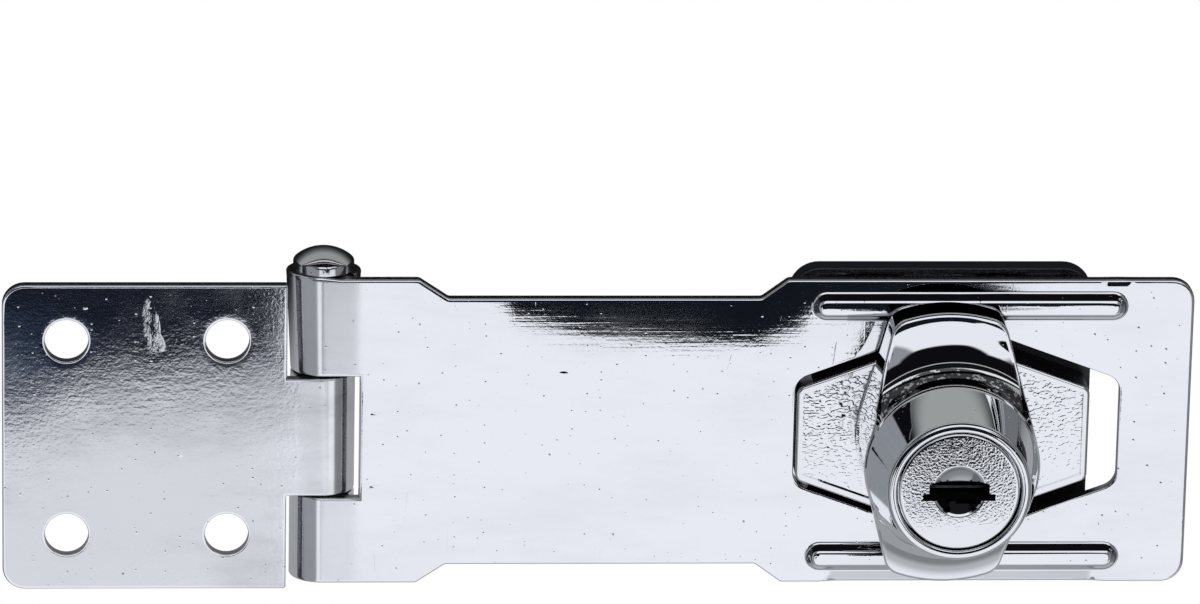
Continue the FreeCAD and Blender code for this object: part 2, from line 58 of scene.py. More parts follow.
def make(name, verts, faces, mats, body=None, replaces=(), smooth=True, angle=32.0, merge=2e-3, face_mats=None, recalc=True):
    """Mesh object from millimetre vertices, with close vertices joined and crisp edges kept by angle."""
    me = bpy.data.meshes.new(name)
    me.from_pydata([tuple(v) for v in np.asarray(verts, float) * MM], [], [tuple(int(i) for i in f) for f in faces])
    for m in mats:
        me.materials.append(m)
    if face_mats is not None:
        for p, m in zip(me.polygons, face_mats):
            p.material_index = m
    bm = bmesh.new()
    bm.from_mesh(me)
    if merge:
        bmesh.ops.remove_doubles(bm, verts=bm.verts, dist=merge * MM)
        bmesh.ops.dissolve_degenerate(bm, dist=1e-7, edges=bm.edges)
    if recalc:
        bmesh.ops.recalc_face_normals(bm, faces=bm.faces)
    for f in bm.faces:
        f.smooth = smooth
    if smooth:
        lim = math.radians(angle)
        for e in bm.edges:
            if len(e.link_faces) == 2 and e.calc_face_angle(0.0) > lim:
                e.smooth = False
    bm.to_mesh(me)
    bm.free()
    o = bpy.data.objects.new(name, me)
    bpy.context.scene.collection.objects.link(o)
    if smooth:
        weigh(o)
    if replaces:
        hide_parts(*replaces)
    if body:
        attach(o, body)
    return o


def arc_pts(cx, cy, r, a0, a1, n):
    return [(cx + r * math.cos(math.radians(a0 + (a1 - a0) * i / n)), cy + r * math.sin(math.radians(a0 + (a1 - a0) * i / n))) for i in range(n + 1)]


def densify(points, step):
    out = []
    n = len(points)
    for i in range(n):
        a, b = np.array(points[i], float), np.array(points[(i + 1) % n], float)
        d = np.linalg.norm(b - a)
        k = max(1, int(math.ceil(d / step)))
        for j in range(k):
            out.append(tuple(a + (b - a) * j / k))
    return out


def round_corners(points, radii, n=8):
    """Closed polygon with each corner turned into an arc of its own radius."""
    out = []
    m = len(points)
    for i in range(m):
        p = np.array(points[i], float)
        a = np.array(points[i - 1], float) - p
        b = np.array(points[(i + 1) % m], float) - p
        r = radii[i]
        if r <= 0:
            out.append(tuple(p))
            continue
        la, lb = np.linalg.norm(a), np.linalg.norm(b)
        a, b = a / la, b / lb
        ang = math.acos(max(-1, min(1, float(a @ b))))
        t = r / math.tan(ang / 2)
        c = p + (a + b) / np.linalg.norm(a + b) * (r / math.sin(ang / 2))
        s, e = p + a * t, p + b * t
        a0, a1 = math.atan2(*(s - c)[::-1]), math.atan2(*(e - c)[::-1])
        d = (a1 - a0 + math.pi) % (2 * math.pi) - math.pi
        for k in range(n + 1):
            q = a0 + d * k / n
            out.append((c[0] + r * math.cos(q), c[1] + r * math.sin(q)))
    return out


def area(loop):
    p = np.asarray(loop, float)
    q = np.roll(p, -1, 0)
    return 0.5 * float((p[:, 0] * q[:, 1] - q[:, 0] * p[:, 1]).sum())


def inset(loop, d):
    """Loop moved towards the material, which lies on its left."""
    p = np.asarray(loop, float)
    a = p - np.roll(p, 1, 0)
    b = np.roll(p, -1, 0) - p
    a /= np.linalg.norm(a, axis=1)[:, None]
    b /= np.linalg.norm(b, axis=1)[:, None]
    na = np.stack([-a[:, 1], a[:, 0]], 1)
    nb = np.stack([-b[:, 1], b[:, 0]], 1)
    m = na + nb
    m /= np.linalg.norm(m, axis=1)[:, None]
    c = np.clip((m * na).sum(1), 0.5, 1)
    return p + m * (d / c)[:, None]


def inside(pts, loops):
    """Even-odd test of points against closed loops."""
    x, y = pts[:, 0], pts[:, 1]
    odd = np.zeros(len(pts), bool)
    for loop in loops:
        p = np.asarray(loop, float)
        q = np.roll(p, -1, 0)
        for (x0, y0), (x1, y1) in zip(p, q):
            if y0 == y1:
                continue
            hit = ((y0 > y) != (y1 > y)) & (x < (x1 - x0) * (y - y0) / (y1 - y0) + x0)
            odd ^= hit
    return odd


def fill(loops, lines=(), points=()):
    """Triangles of the region between loops, with inner lines and points kept."""
    vs, es = [], []
    for loop in loops:
        s = len(vs)
        vs += [Vector((float(x), float(y))) for x, y in loop]
        es += [(s + i, s + (i + 1) % len(loop)) for i in range(len(loop))]
    for line, closed in lines:
        s = len(vs)
        vs += [Vector((float(x), float(y))) for x, y in line]
        es += [(s + i, s + i + 1) for i in range(len(line) - 1)]
        if closed:
            es.append((s + len(line) - 1, s))
    vs += [Vector((float(x), float(y))) for x, y in points]
    out = geometry.delaunay_2d_cdt(vs, es, [], 0, 1e-5, False)
    v = np.array([tuple(p) for p in out[0]])
    f = np.array([t for t in out[2] if len(t) == 3])
    cen = v[f].mean(1)
    keep = inside(cen, loops)
    return v, f[keep]


def sheet(loops, z0, z1, r_tops, r_bot, lines=(), points=(), top_fn=None, bot_fn=None, steps=4):
    """Plate between z0 and z1 with rounded edges. Outer loop anticlockwise, holes clockwise.
    Faces come back with a mark: 0 outer face and its round, 1 cut edge, 2 inner face."""
    V_, F_, M_ = [], [], []

    def add(v, f, m):
        s = sum(len(a) for a in V_)
        V_.append(v)
        F_.extend([tuple(i + s for i in t) for t in f])
        M_.extend([m] * len(f))
    for side, z, rr in ((1, z1, r_tops), (-1, z0, [r_bot] * len(loops))):
        rings = [inset(l, r) for l, r in zip(loops, rr)]
        support = [(inset(l, r + 0.22), True) for l, r in zip(loops, rr)]
        v2, f2 = fill(rings, list(lines) + support, points)
        fn = top_fn if side > 0 else bot_fn
        zz = np.full(len(v2), z) + (fn(v2) if fn else 0)
        v = np.column_stack([v2, zz])
        add(v, f2 if side > 0 else f2[:, ::-1], 0 if side > 0 else 2)
    for l, r_top in zip(loops, r_tops):
        prof = []
        for k in range(steps + 1):
            a = math.pi / 2 * k / steps
            prof.append((r_top * (1 - math.sin(a)), z1 - r_top * (1 - math.cos(a)), top_fn))
        for k in range(steps + 1):
            a = math.pi / 2 * k / steps
            prof.append((r_bot * (1 - math.cos(a)), z0 + r_bot * (1 - math.sin(a)), bot_fn))
        rows = []
        for d, z, fn in prof:
            p = inset(l, d) if d > 1e-9 else np.asarray(l, float)
            q = inset(l, r_top if z > (z0 + z1) / 2 else r_bot)
            add_z = fn(q) if fn else 0
            rows.append(np.column_stack([p, np.full(len(p), z) + add_z]))
        n = len(l)
        v = np.concatenate(rows)
        f = []
        for k in range(len(rows) - 1):
            for i in range(n):
                j = (i + 1) % n
                f.append((k * n + i, (k + 1) * n + i, (k + 1) * n + j, k * n + j))
        add(v, f[:steps * n], 0)
        F_.extend([tuple(i + sum(len(a) for a in V_[:-1]) for i in t) for t in f[steps * n:]])
        M_.extend([1] * (len(f) - steps * n))
    return np.concatenate(V_), F_, M_


def lathe(profile, n=128, axis="z", centre=(0, 0, 0), a0=0.0):
    """Turned surface from (radius, height) points about an axis through centre."""
    v, f = [], []
    for r, h in profile:
        for i in range(n):
            a = a0 + 2 * math.pi * i / n
            c, s = r * math.cos(a), r * math.sin(a)
            if axis == "z":
                v.append((centre[0] + c, centre[1] + s, centre[2] + h))
            else:
                v.append((centre[0] + c, centre[1] + h, centre[2] + s))
    for k in range(len(profile) - 1):
        for i in range(n):
            j = (i + 1) % n
            f.append((k * n + i, k * n + j, (k + 1) * n + j, (k + 1) * n + i))
    return np.array(v), f


def bez(p0, p1, p2, n):
    return [tuple((1 - t) ** 2 * np.array(p0) + 2 * t * (1 - t) * np.array(p1) + t * t * np.array(p2)) for t in np.linspace(0, 1, n + 1)]


def rnd(a, corner, b, r, n=5):
    """Points of a round of about radius r at a profile corner between a and b."""
    a, c, b = map(lambda q: np.array(q, float), (a, corner, b))
    u, w = (a - c) / np.linalg.norm(a - c), (b - c) / np.linalg.norm(b - c)
    return bez(c + u * r, c, c + w * r, n)


# ---------------------------------------------------------------- materials
def new_mat(name):
    m = bpy.data.materials.new(name)
    m.use_nodes = True
    nt = m.node_tree
    for n in list(nt.nodes):
        nt.nodes.remove(n)
    out = nt.nodes.new("ShaderNodeOutputMaterial")
    bs = nt.nodes.new("ShaderNodeBsdfPrincipled")
    nt.links.new(bs.outputs[0], out.inputs[0])
    return m, nt, bs


class G:
    """Small helper to wire nodes."""
    def __init__(self, nt):
        self.nt = nt

    def n(self, kind, **kw):
        x = self.nt.nodes.new(kind)
        for k, v in kw.items():
            setattr(x, k, v)
        return x

    def l(self, a, b):
        self.nt.links.new(a, b)

    def coord(self):
        return self.n("ShaderNodeTexCoord").outputs["Object"]

    def mapped(self, co, scale=(1, 1, 1), rot=(0, 0, 0), loc=(0, 0, 0)):
        m = self.n("ShaderNodeMapping")
        m.inputs["Scale"].default_value = scale
        m.inputs["Rotation"].default_value = rot
        m.inputs["Location"].default_value = loc
        self.l(co, m.inputs["Vector"])
        return m.outputs[0]

    def noise(self, co, scale, detail=3.0, rough=0.55, lac=2.0):
        x = self.n("ShaderNodeTexNoise")
        x.inputs["Scale"].default_value = scale
        x.inputs["Detail"].default_value = detail
        x.inputs["Roughness"].default_value = rough
        x.inputs["Lacunarity"].default_value = lac
        self.l(co, x.inputs["Vector"])
        return x.outputs["Fac"]

    def voronoi(self, co, scale, feature="F1"):
        x = self.n("ShaderNodeTexVoronoi", feature=feature)
        x.inputs["Scale"].default_value = scale
        self.l(co, x.inputs["Vector"])
        return x.outputs["Distance"]

    def dots(self, co, scale, share, radius):
        """Scattered soft dots: 1 at a dot's middle, 0 outside. share of the cells hold one; radius in metres."""
        x = self.n("ShaderNodeTexVoronoi", feature="F1", voronoi_dimensions="2D")
        x.inputs["Scale"].default_value = scale
        self.l(co, x.inputs["Vector"])
        sp = self.n("ShaderNodeSeparateColor")
        self.l(x.outputs["Color"], sp.inputs[0])
        size = self.rng(sp.outputs[0], 1.0 - share, 1.0, 0.0, 1.0)
        rad = self.math("MULTIPLY", size, radius * scale)
        d_ = self.math("SUBTRACT", rad, x.outputs["Distance"])
        return self.math("MAXIMUM", self.math("DIVIDE", d_, radius * scale), 0.0)

    def rng(self, v, a, b, c, d, smooth=False):
        x = self.n("ShaderNodeMapRange")
        x.interpolation_type = "SMOOTHSTEP" if smooth else "LINEAR"
        x.clamp = True
        x.inputs["From Min"].default_value = a
        x.inputs["From Max"].default_value = b
        x.inputs["To Min"].default_value = c
        x.inputs["To Max"].default_value = d
        self.l(v, x.inputs["Value"])
        return x.outputs["Result"]

    def math(self, op, a, b=None, clamp=False):
        x = self.n("ShaderNodeMath", operation=op)
        x.use_clamp = clamp
        for i, v in enumerate((a, b)):
            if v is None:
                continue
            if isinstance(v, (int, float)):
                x.inputs[i].default_value = v
            else:
                self.l(v, x.inputs[i])
        return x.outputs[0]

    def mix(self, fac, a, b):
        x = self.n("ShaderNodeMix", data_type="RGBA")
        if isinstance(fac, (int, float)):
            x.inputs[0].default_value = fac
        else:
            self.l(fac, x.inputs[0])
        for i, v in ((6, a), (7, b)):
            if isinstance(v, tuple):
                x.inputs[i].default_value = v
            else:
                self.l(v, x.inputs[i])
        return x.outputs[2]

    def bump(self, height, dist, strength=1.0, normal=None):
        x = self.n("ShaderNodeBump")
        x.inputs["Strength"].default_value = strength
        x.inputs["Distance"].default_value = dist
        self.l(height, x.inputs["Height"])
        if normal is not None:
            self.l(normal, x.inputs["Normal"])
        return x.outputs[0]


def chrome_sheet(name, tint=(0.93, 0.935, 0.955), wave=1.0, streak=1.0, pits=1.0, grain=1.0, hair=1.0, rough=(0.012, 0.04), smudges=(), mottle=0.0, draw_x=0.022, soft=None):
    """Bright chrome plate on stamped sheet: draw streaks, slow waves, dimples, pits, hairline scratches and smudges."""
    m, nt, bs = new_mat(name)
    g = G(nt)
    co = g.coord()
    bs.inputs["Metallic"].default_value = 1.0
    patch = g.noise(co, 42.0, 4.0, 0.6)
    rgh = g.rng(patch, 0.35, 0.72, rough[0], rough[1], True)
    # dark pinholes in the plate
    pin = g.dots(co, 230.0, 0.16 * pits, 0.00017)
    pin2 = g.dots(g.mapped(co, scale=(0.6, 1, 1), loc=(0.31, 0.52, 0.0)), 520.0, 0.10 * pits, 0.00010)
    hole = g.rng(g.math("MAXIMUM", pin, pin2), 0.0, 0.25, 0.0, 1.0)
    shade = g.noise(g.mapped(co, scale=(0.35, 1.0, 1.0), loc=(0.7, 0.1, 0.2)), 95.0, 5.0, 0.65)
    dull = g.math("MULTIPLY", g.rng(shade, 0.42, 0.72, 0.0, 1.0, True), 0.10 + mottle)
    col = g.mix(dull, tint + (1,), (0.50, 0.50, 0.53, 1))
    col = g.mix(g.math("MULTIPLY", hole, 0.7), col, (0.16, 0.17, 0.20, 1))
    # heights, in metres
    slow = g.noise(co, 48.0, 2.0, 0.45)
    fine = g.noise(co, 1900.0, 2.0, 0.6)
    draw = g.noise(g.mapped(co, scale=(draw_x, 1.0, 0.2)), 1500.0, 3.0, 0.6)
    draw2 = g.noise(g.mapped(co, scale=(max(0.09, 3 * draw_x), 1.0, 0.3), loc=(0.2, 0.7, 0.1)), 700.0, 2.0, 0.6)
    nrm = g.bump(slow, 0.000010 * wave)
    nrm = g.bump(draw, 0.0000016 * streak, normal=nrm)
    nrm = g.bump(draw2, 0.0000018 * streak, normal=nrm)
    nrm = g.bump(fine, 0.0000009 * grain, normal=nrm)
    nrm = g.bump(hole, 0.00001, normal=nrm)
    # tiny dimples and a few wider dents, light specks in a dark mirror image
    nrm = g.bump(g.dots(g.mapped(co, loc=(0.13, 0.41, 0.0)), 520.0, 0.42, 0.00017), 0.000026, normal=nrm)
    nrm = g.bump(g.dots(g.mapped(co, scale=(0.5, 1, 1), loc=(0.7, 0.2, 0.1)), 160.0, 0.16, 0.00045), 0.000022, normal=nrm)
    # hairline scratches: thin level lines of a few slow, turned noises
    for k, (turn, sc_, w_) in enumerate(((0.5, 16.0, 0.0016), (-0.9, 22.0, 0.0013), (1.35, 13.0, 0.0012))):
        f_ = g.noise(g.mapped(co, scale=(1.0, 0.16, 1.0), rot=(0, 0, turn), loc=(0.3 * k, 0.6 * k, 0)), sc_ * 6, 1.0, 0.4)
        line = g.rng(g.math("ABSOLUTE", g.math("SUBTRACT", f_, 0.5)), 0.0, w_ * 2.2, 1.0, 0.0)
        some = g.rng(g.noise(g.mapped(co, loc=(0.9 * k, 0.2, 0)), 130.0, 1.0, 0.5), 0.56, 0.66, 0.0, 1.0)
        nrm = g.bump(g.math("MULTIPLY", line, some), 0.0000011 * hair, normal=nrm)
    # worn smudges: (x, y, half length, half width, turn), metres and radians
    for sx_, sy_, la, lb, turn in smudges:
        c_, s_ = math.cos(turn), math.sin(turn)
        q_ = g.n("ShaderNodeMapping", vector_type="POINT")
        q_.inputs["Location"].default_value = (-(c_ * sx_ + s_ * sy_) / la, -(-s_ * sx_ + c_ * sy_) / lb, 0)
        q_.inputs["Rotation"].default_value = (0, 0, -turn)
        q_.inputs["Scale"].default_value = (1, 1, 0)
        # scale after the turn: a second mapping
        q_.inputs["Location"].default_value = (-(c_ * sx_ + s_ * sy_), -(-s_ * sx_ + c_ * sy_), 0)
        g.l(co, q_.inputs["Vector"])
        q2 = g.mapped(q_.outputs[0], scale=(1 / la, 1 / lb, 0))
        ln = g.n("ShaderNodeVectorMath", operation="LENGTH")
        g.l(q2, ln.inputs[0])
        worn = g.noise(g.mapped(co, scale=(1.0, 0.35, 1.0), rot=(0, 0, turn + 0.5)), 900.0, 4.0, 0.7)
        mask = g.math("MULTIPLY", g.rng(ln.outputs["Value"], 0.75, 1.05, 1.0, 0.0, True), g.rng(worn, 0.46, 0.66, 0.0, 1.0))
        rgh = g.math("ADD", rgh, g.math("MULTIPLY", mask, 0.12))
        nrm = g.bump(g.math("MULTIPLY", mask, worn), 0.000010, normal=nrm)
    if soft:
        # the rolled barrel is duller than the flat
        sx = g.n("ShaderNodeSeparateXYZ")
        g.l(co, sx.inputs[0])
        rgh = g.math("ADD", rgh, g.rng(sx.outputs[0], soft[0], soft[1], soft[2], 0.0, True))
    g.l(rgh, bs.inputs["Roughness"])
    g.l(col, bs.inputs["Base Color"])
    g.l(nrm, bs.inputs["Normal"])
    return m


def chrome_cast(name, tint=(0.9, 0.905, 0.92), rough=(0.015, 0.045), wave=1.0, pits=1.0, flecks=0.0, fleck_scale=2300.0, grain=0.0, grain_scale=2600.0, fade=None, specks=False, edge=None):
    """Chrome on die-cast zinc: soft waves, specks, and cast grain where asked. fade: (axis, from, to) weakens the grain."""
    m, nt, bs = new_mat(name)
    g = G(nt)
    co = g.coord()
    bs.inputs["Metallic"].default_value = 1.0
    if edge:
        bs.inputs["Specular Tint"].default_value = edge + (1,)
    patch = g.noise(co, 120.0, 3.0, 0.6)
    g.l(g.rng(patch, 0.35, 0.75, rough[0], rough[1], True), bs.inputs["Roughness"])
    speck = g.dots(co, 420.0, 0.22 * pits, 0.00013)
    where = g.rng(g.noise(g.mapped(co, loc=(0.11, 0.23, 0.31)), 170.0, 2.0, 0.5), 0.45, 0.6, 0.0, 1.0)
    speck = g.math("MULTIPLY", speck, where)
    col = g.mix(g.math("MULTIPLY", g.rng(speck, 0.0, 0.3, 0.0, 1.0), 0.5), tint + (1,), (0.30, 0.31, 0.34, 1))
    if specks:
        # bright grains scattered through a painted dark reflection at the root
        sp_ = g.n("ShaderNodeTexVoronoi", feature="F1")
        sp_.inputs["Scale"].default_value = 2600.0
        g.l(co, sp_.inputs["Vector"])
        sc_ = g.n("ShaderNodeSeparateColor")
        g.l(sp_.outputs["Color"], sc_.inputs[0])
        col = g.mix(g.rng(sc_.outputs[0], 0.80, 0.84, 0.0, 0.8), col, (0.9, 0.9, 0.92, 1))
    g.l(col, bs.inputs["Base Color"])
    slow = g.noise(co, 210.0, 2.0, 0.5)
    nrm = g.bump(slow, 0.000006 * wave)
    nrm = g.bump(g.noise(co, 1700.0, 2.0, 0.6), 0.0000012 * wave, normal=nrm)
    nrm = g.bump(speck, 0.00003, normal=nrm)
    if fade:
        sp = g.n("ShaderNodeSeparateXYZ")
        g.l(co, sp.inputs[0])
        w_ = g.rng(sp.outputs[fade[0]], fade[1], fade[2], 0.12, 1.0, True)
    if flecks:
        f_ = g.noise(g.mapped(co, scale=(0.55, 1, 1)), fleck_scale, 1.0, 0.5)
        h_ = g.rng(f_, 0.46, 0.64, 0.0, 1.0, True)
        if fade:
            h_ = g.math("MULTIPLY", h_, w_)
        nrm = g.bump(h_, 0.000012 * flecks, normal=nrm)
    if grain:
        h_ = g.noise(co, grain_scale, 1.0, 0.5)
        if fade:
            h_ = g.math("MULTIPLY", h_, w_)
        nrm = g.bump(h_, 0.00004 * grain, normal=nrm)
    g.l(nrm, bs.inputs["Normal"])
    return m


def plain_metal(name, color, rough=0.3, scale=900.0, bump=0.000004, stretch=(1, 1, 1)):
    m, nt, bs = new_mat(name)
    g = G(nt)
    co = g.coord()
    bs.inputs["Metallic"].default_value = 1.0
    n1 = g.noise(g.mapped(co, scale=stretch), scale, 3.0, 0.6)
    g.l(g.mix(g.rng(n1, 0.3, 0.7, 0.0, 1.0), tuple(c * 0.86 for c in color) + (1,), color + (1,)), bs.inputs["Base Color"])
    g.l(g.rng(n1, 0.3, 0.7, rough * 0.75, rough * 1.25), bs.inputs["Roughness"])
    g.l(g.bump(n1, bump), bs.inputs["Normal"])
    return m


M_STRAP = chrome_sheet("chrome_strap", pits=0.7, mottle=0.05, soft=(-0.0790, -0.0765, 0.13))
M_LEAF = chrome_sheet("chrome_leaf", wave=1.1, streak=0.8, grain=2.6, pits=1.0, hair=0.2, mottle=0.34, rough=(0.02, 0.08), draw_x=0.16,
                      smudges=((-0.1051, 0.0150, 0.0012, 0.0040, 0.12), (-0.1042, 0.0128, 0.0009, 0.0016, 0.5)), soft=(-0.0835, -0.0860, 0.13))
M_PIN = chrome_sheet("chrome_pin", tint=(0.80, 0.80, 0.81), wave=0.3, streak=0.5, pits=1.4, rough=(0.06, 0.14))
M_EDGE = plain_metal("sheared_edge", (0.26, 0.265, 0.28), 0.30, 1400.0, 0.000006, stretch=(1, 1, 0.2))
M_BACK = plain_metal("plated_back", (0.42, 0.425, 0.44), 0.24, 1100.0, 0.000002)
M_KNOB = chrome_cast("chrome_knob", wave=0.6, pits=0.8)
# painted dark reflection: near-black chrome tint for the end walls of the grip's tips
M_KNOB_END_PAINTED_DARK = chrome_cast("chrome_knob_end_painted_dark_reflection", tint=(0.035, 0.035, 0.04), wave=0.6, pits=0.8, edge=(0.03, 0.03, 0.035))
# painted dark reflection at the saddle's root on the +Y side, with bright grains
M_KNOB_ROOT_PAINTED_DARK = chrome_cast("chrome_knob_root_painted_dark_reflection", tint=(0.10, 0.10, 0.105), wave=0.6, pits=0.0, specks=True)
M_BASE = chrome_cast("chrome_base", wave=1.0)
# painted shade: dark rough material for the gap walls round the boss and the flange's far upper edge
M_PAINTED_SHADE = plain_metal("cast_painted_shade", (0.10, 0.10, 0.11), 0.45, 900.0, 0.000006)
M_PANEL = chrome_cast("chrome_panel_grain", flecks=1.0, fleck_scale=2500.0, rough=(0.015, 0.04), tint=(0.92, 0.92, 0.94), fade=("Y", -0.010, 0.008))
M_PLUG = chrome_cast("chrome_plug", wave=0.5, pits=0.4)
# painted reflections in the keyway dish: grey over the +Y half, near black over the -Y half
M_DISH_FAR_PAINTED_GREY = chrome_cast("chrome_dish_far_painted_grey_reflection", wave=0.5, pits=0.4, tint=(0.46, 0.465, 0.475))
M_DISH_NEAR_PAINTED_DARK = chrome_cast("chrome_dish_near_painted_dark_reflection", wave=0.5, pits=0.2, tint=(0.010, 0.010, 0.011), edge=(0.02, 0.02, 0.02))
M_PLUG_GRAIN = chrome_cast("chrome_plug_grain", grain=0.30, grain_scale=3300.0, rough=(0.015, 0.05), tint=(0.9, 0.905, 0.92), fade=("Y", -0.0075, 0.002))
# painted shade inside the keyway, and grease with painted shade in the wafers' windows
M_KEYWAY_GREASE_AND_SHADE = plain_metal("keyway_grease_and_painted_shade", (0.09, 0.09, 0.10), 0.5, 1600.0)
M_BRASS = plain_metal("wafer_brass", (0.80, 0.62, 0.30), 0.28, 1200.0, stretch=(1, 0.2, 1))
M_SPRING = plain_metal("spring_wire", (0.62, 0.63, 0.65), 0.22, 3000.0)
M_STEEL = plain_metal("passivated_steel", (0.60, 0.61, 0.62), 0.30, 700.0, stretch=(0.3, 1, 1))

# ---------------------------------------------------------------- hinge sheets
RIB_Y, RIB_X0, RIB_X1, RIB_HALF, RIB_H = 17.6, -17.9, 24.3, 2.05, 1.05
# the rim beyond the ribs leans down a little: from x, to x, from y, drop; a dent on the far side, the whole rim on the near side
LIPS = {1: (21.0, 24.6, 20.45, 0.12), -1: (-15.4, 21.6, 19.7, 0.45)}


def smooth01(t):
    t = np.clip(t, 0, 1)
    return t * t * (3 - 2 * t)


def rib_distance(p, sy, x0=RIB_X0, x1=RIB_X1, r=RIB_HALF):
    dx = np.maximum(np.maximum((x0 + r) - p[:, 0], p[:, 0] - (x1 - r)), 0)
    return np.hypot(dx, p[:, 1] - sy * RIB_Y)


RIB_PROF_D = np.array([0.0, 0.62, 0.80, 0.95, 1.08, 1.22, 1.38, 1.55, 1.70, 1.82, 1.92, 2.02, 2.12])
RIB_PROF_H = np.array([1.05, 1.045, 1.02, 0.97, 0.89, 0.75, 0.55, 0.34, 0.17, 0.075, 0.025, 0.005, 0.0])


def lip_fn(p):
    z = np.zeros(len(p))
    for s in (-1, 1):
        y = s * p[:, 1]
        x0, x1, y0, drop = LIPS[s]
        w = smooth01((p[:, 0] - (x0 - 0.1)) / 1.5) * smooth01(((x1 + 0.1) - p[:, 0]) / 1.5)
        z -= w * drop * np.clip((y - y0) / (HALF - y0), 0, 1.15)
    return z


def strap_top(p):
    z = lip_fn(p)
    for s in (-1, 1):
        z += np.interp(rib_distance(p, s), RIB_PROF_D, RIB_PROF_H)
    return z


def strap_bot(p):
    z = lip_fn(p)
    for s in (-1, 1):
        d = rib_distance(p, s)
        z += np.interp(d, [0, 0.5, 0.75, 1.0, 1.2, 1.4], [0.9, 0.86, 0.7, 0.3, 0.06, 0])
    return z


def rib_lines(ds):
    out = []
    for s in (-1, 1):
        for d in ds:
            y = s * RIB_Y
            x0, x1 = RIB_X0 + RIB_HALF, RIB_X1 - RIB_HALF
            pts = arc_pts(x1, y, d, -90, 90, 12) + arc_pts(x0, y, d, 90, 270, 12)
            out.append((densify(pts, 3.0), True))
    return out


def curl(v, side):
    """Wraps the unrolled sheet round the pin: side -1 for the strap (curls towards -X), +1 for the leaf."""
    v = v.copy()
    s = (HX - v[:, 0]) if side < 0 else (v[:, 0] - HX)
    on = s > 0
    r = RB - (TOP - v[:, 2])
    th = s / RB
    x = HX + side * r * np.sin(th)
    z = HZ + r * np.cos(th)
    v[on, 0] = x[on]
    v[on, 2] = z[on]
    return v


def curl_rows(side, y0, y1, r):
    """Cross lines of the curl, so that its triangles follow the bend."""
    n = 84
    out = []
    for i in range(1, n):
        x = HX + side * (RB * CURL) * i / n
        out.append(([(x, y0 + r), (x, y1 - r)], False))
    return out, [HX + side * (RB * CURL) * i / n for i in range(n + 1)]


EDGE_R = 0.26


def tab_side(side, y, outward):
    """Dense points along one side of a knuckle tab, from the sheet to its end or back."""
    xs = curl_rows(side, 0, 1, 0)[1]
    pts = [(x, y) for x in xs]
    return pts if outward else pts[::-1]


# strap, unrolled: anticlockwise outline
edge = HX + EDGE_OFF
WX = (-69.8, -65.9, -24.5, -21.0)
WH = 18.65
right = round_corners([(HX + 2.0, -HALF), (WX[0], -HALF), (WX[1], -WH), (WX[2], -WH), (WX[3], -HALF), (33.1, -HALF), (33.1, HALF),
                       (WX[3], HALF), (WX[2], WH), (WX[1], WH), (WX[0], HALF), (HX + 2.0, HALF)],
                      [0, 0.9, 0.9, 0.9, 0.9, 3.0, 3.0, 0.9, 0.9, 0.9, 0.9, 0], 8)
LEAF_Y = -0.75
KO_LO, KO_HI = LEAF_Y - 8.5, LEAF_Y + 8.5
outline = []
outline += [(edge, KO_LO), (HX + 0.6, KO_LO)]
outline += tab_side(-1, KO_LO, True)
outline += tab_side(-1, -HALF, False)
outline += right
outline += tab_side(-1, HALF, True)
outline += tab_side(-1, KO_HI, False)
outline += [(HX + 0.6, KO_HI), (edge, KO_HI)]
outline = densify(outline, 2.5)
run = (13.05 - 7.35) / 0.37
slot = round_corners([(-19.7, -7.35), (-19.7 + run, -13.05), (23.6 - run, -13.05), (23.6, -7.35),
                      (23.6, 7.35), (23.6 - run, 13.05), (-19.7 + run, 13.05), (-19.7, 7.35)],
                     [2.4, 4.0, 4.0, 2.4, 2.4, 4.0, 4.0, 2.4], 8)
slot = densify(slot, 2.5)
if area(outline) < 0:
    outline = outline[::-1]
if area(slot) > 0:
    slot = slot[::-1]
rows = curl_rows(-1, KO_HI, HALF, EDGE_R)[0] + curl_rows(-1, -HALF, KO_LO, EDGE_R)[0]
lines = rib_lines(RIB_PROF_D[1:]) + rows
for s in (-1, 1):
    lines.append(([(RIB_X0 + RIB_HALF, s * RIB_Y), (RIB_X1 - RIB_HALF, s * RIB_Y)], False))
    x0, x1, y0, drop = LIPS[s]
    for x in list(np.linspace(x0 - 0.2, x0 + 1.6, 7)) + list(np.linspace(x1 - 1.6, x1 + 0.2, 7)):
        lines.append(([(x, s * y0), (x, s * (HALF - EDGE_R))], False))
    for dy in (-0.10, 0.0, 0.10, 0.25):
        lines.append(([(x0 - 0.2, s * (y0 + dy)), (x1 + 0.2, s * (y0 + dy))], False))
v, f, fm = sheet([outline, slot], TOP - T, TOP, [EDGE_R, 0.13], 0.18, lines=lines, top_fn=strap_top, bot_fn=strap_bot)
v = curl(v, -1)
# upper knuckle's end swaged outwards under the pin's head
k = smooth01((v[:, 1] - 20.0) / 0.9) * (np.hypot(v[:, 0] - HX, v[:, 2] - HZ) < RB + 0.05)
v[:, 0] = HX + (v[:, 0] - HX) * (1 + 0.155 * k)
v[:, 1] += 0.25 * smooth01((v[:, 1] - 20.6) / 0.6) * (k > 0)
strap = make("strap", v, f, [M_STRAP, M_EDGE, M_BACK], "hasp", ["hasp_strap"], angle=26, face_mats=fm)

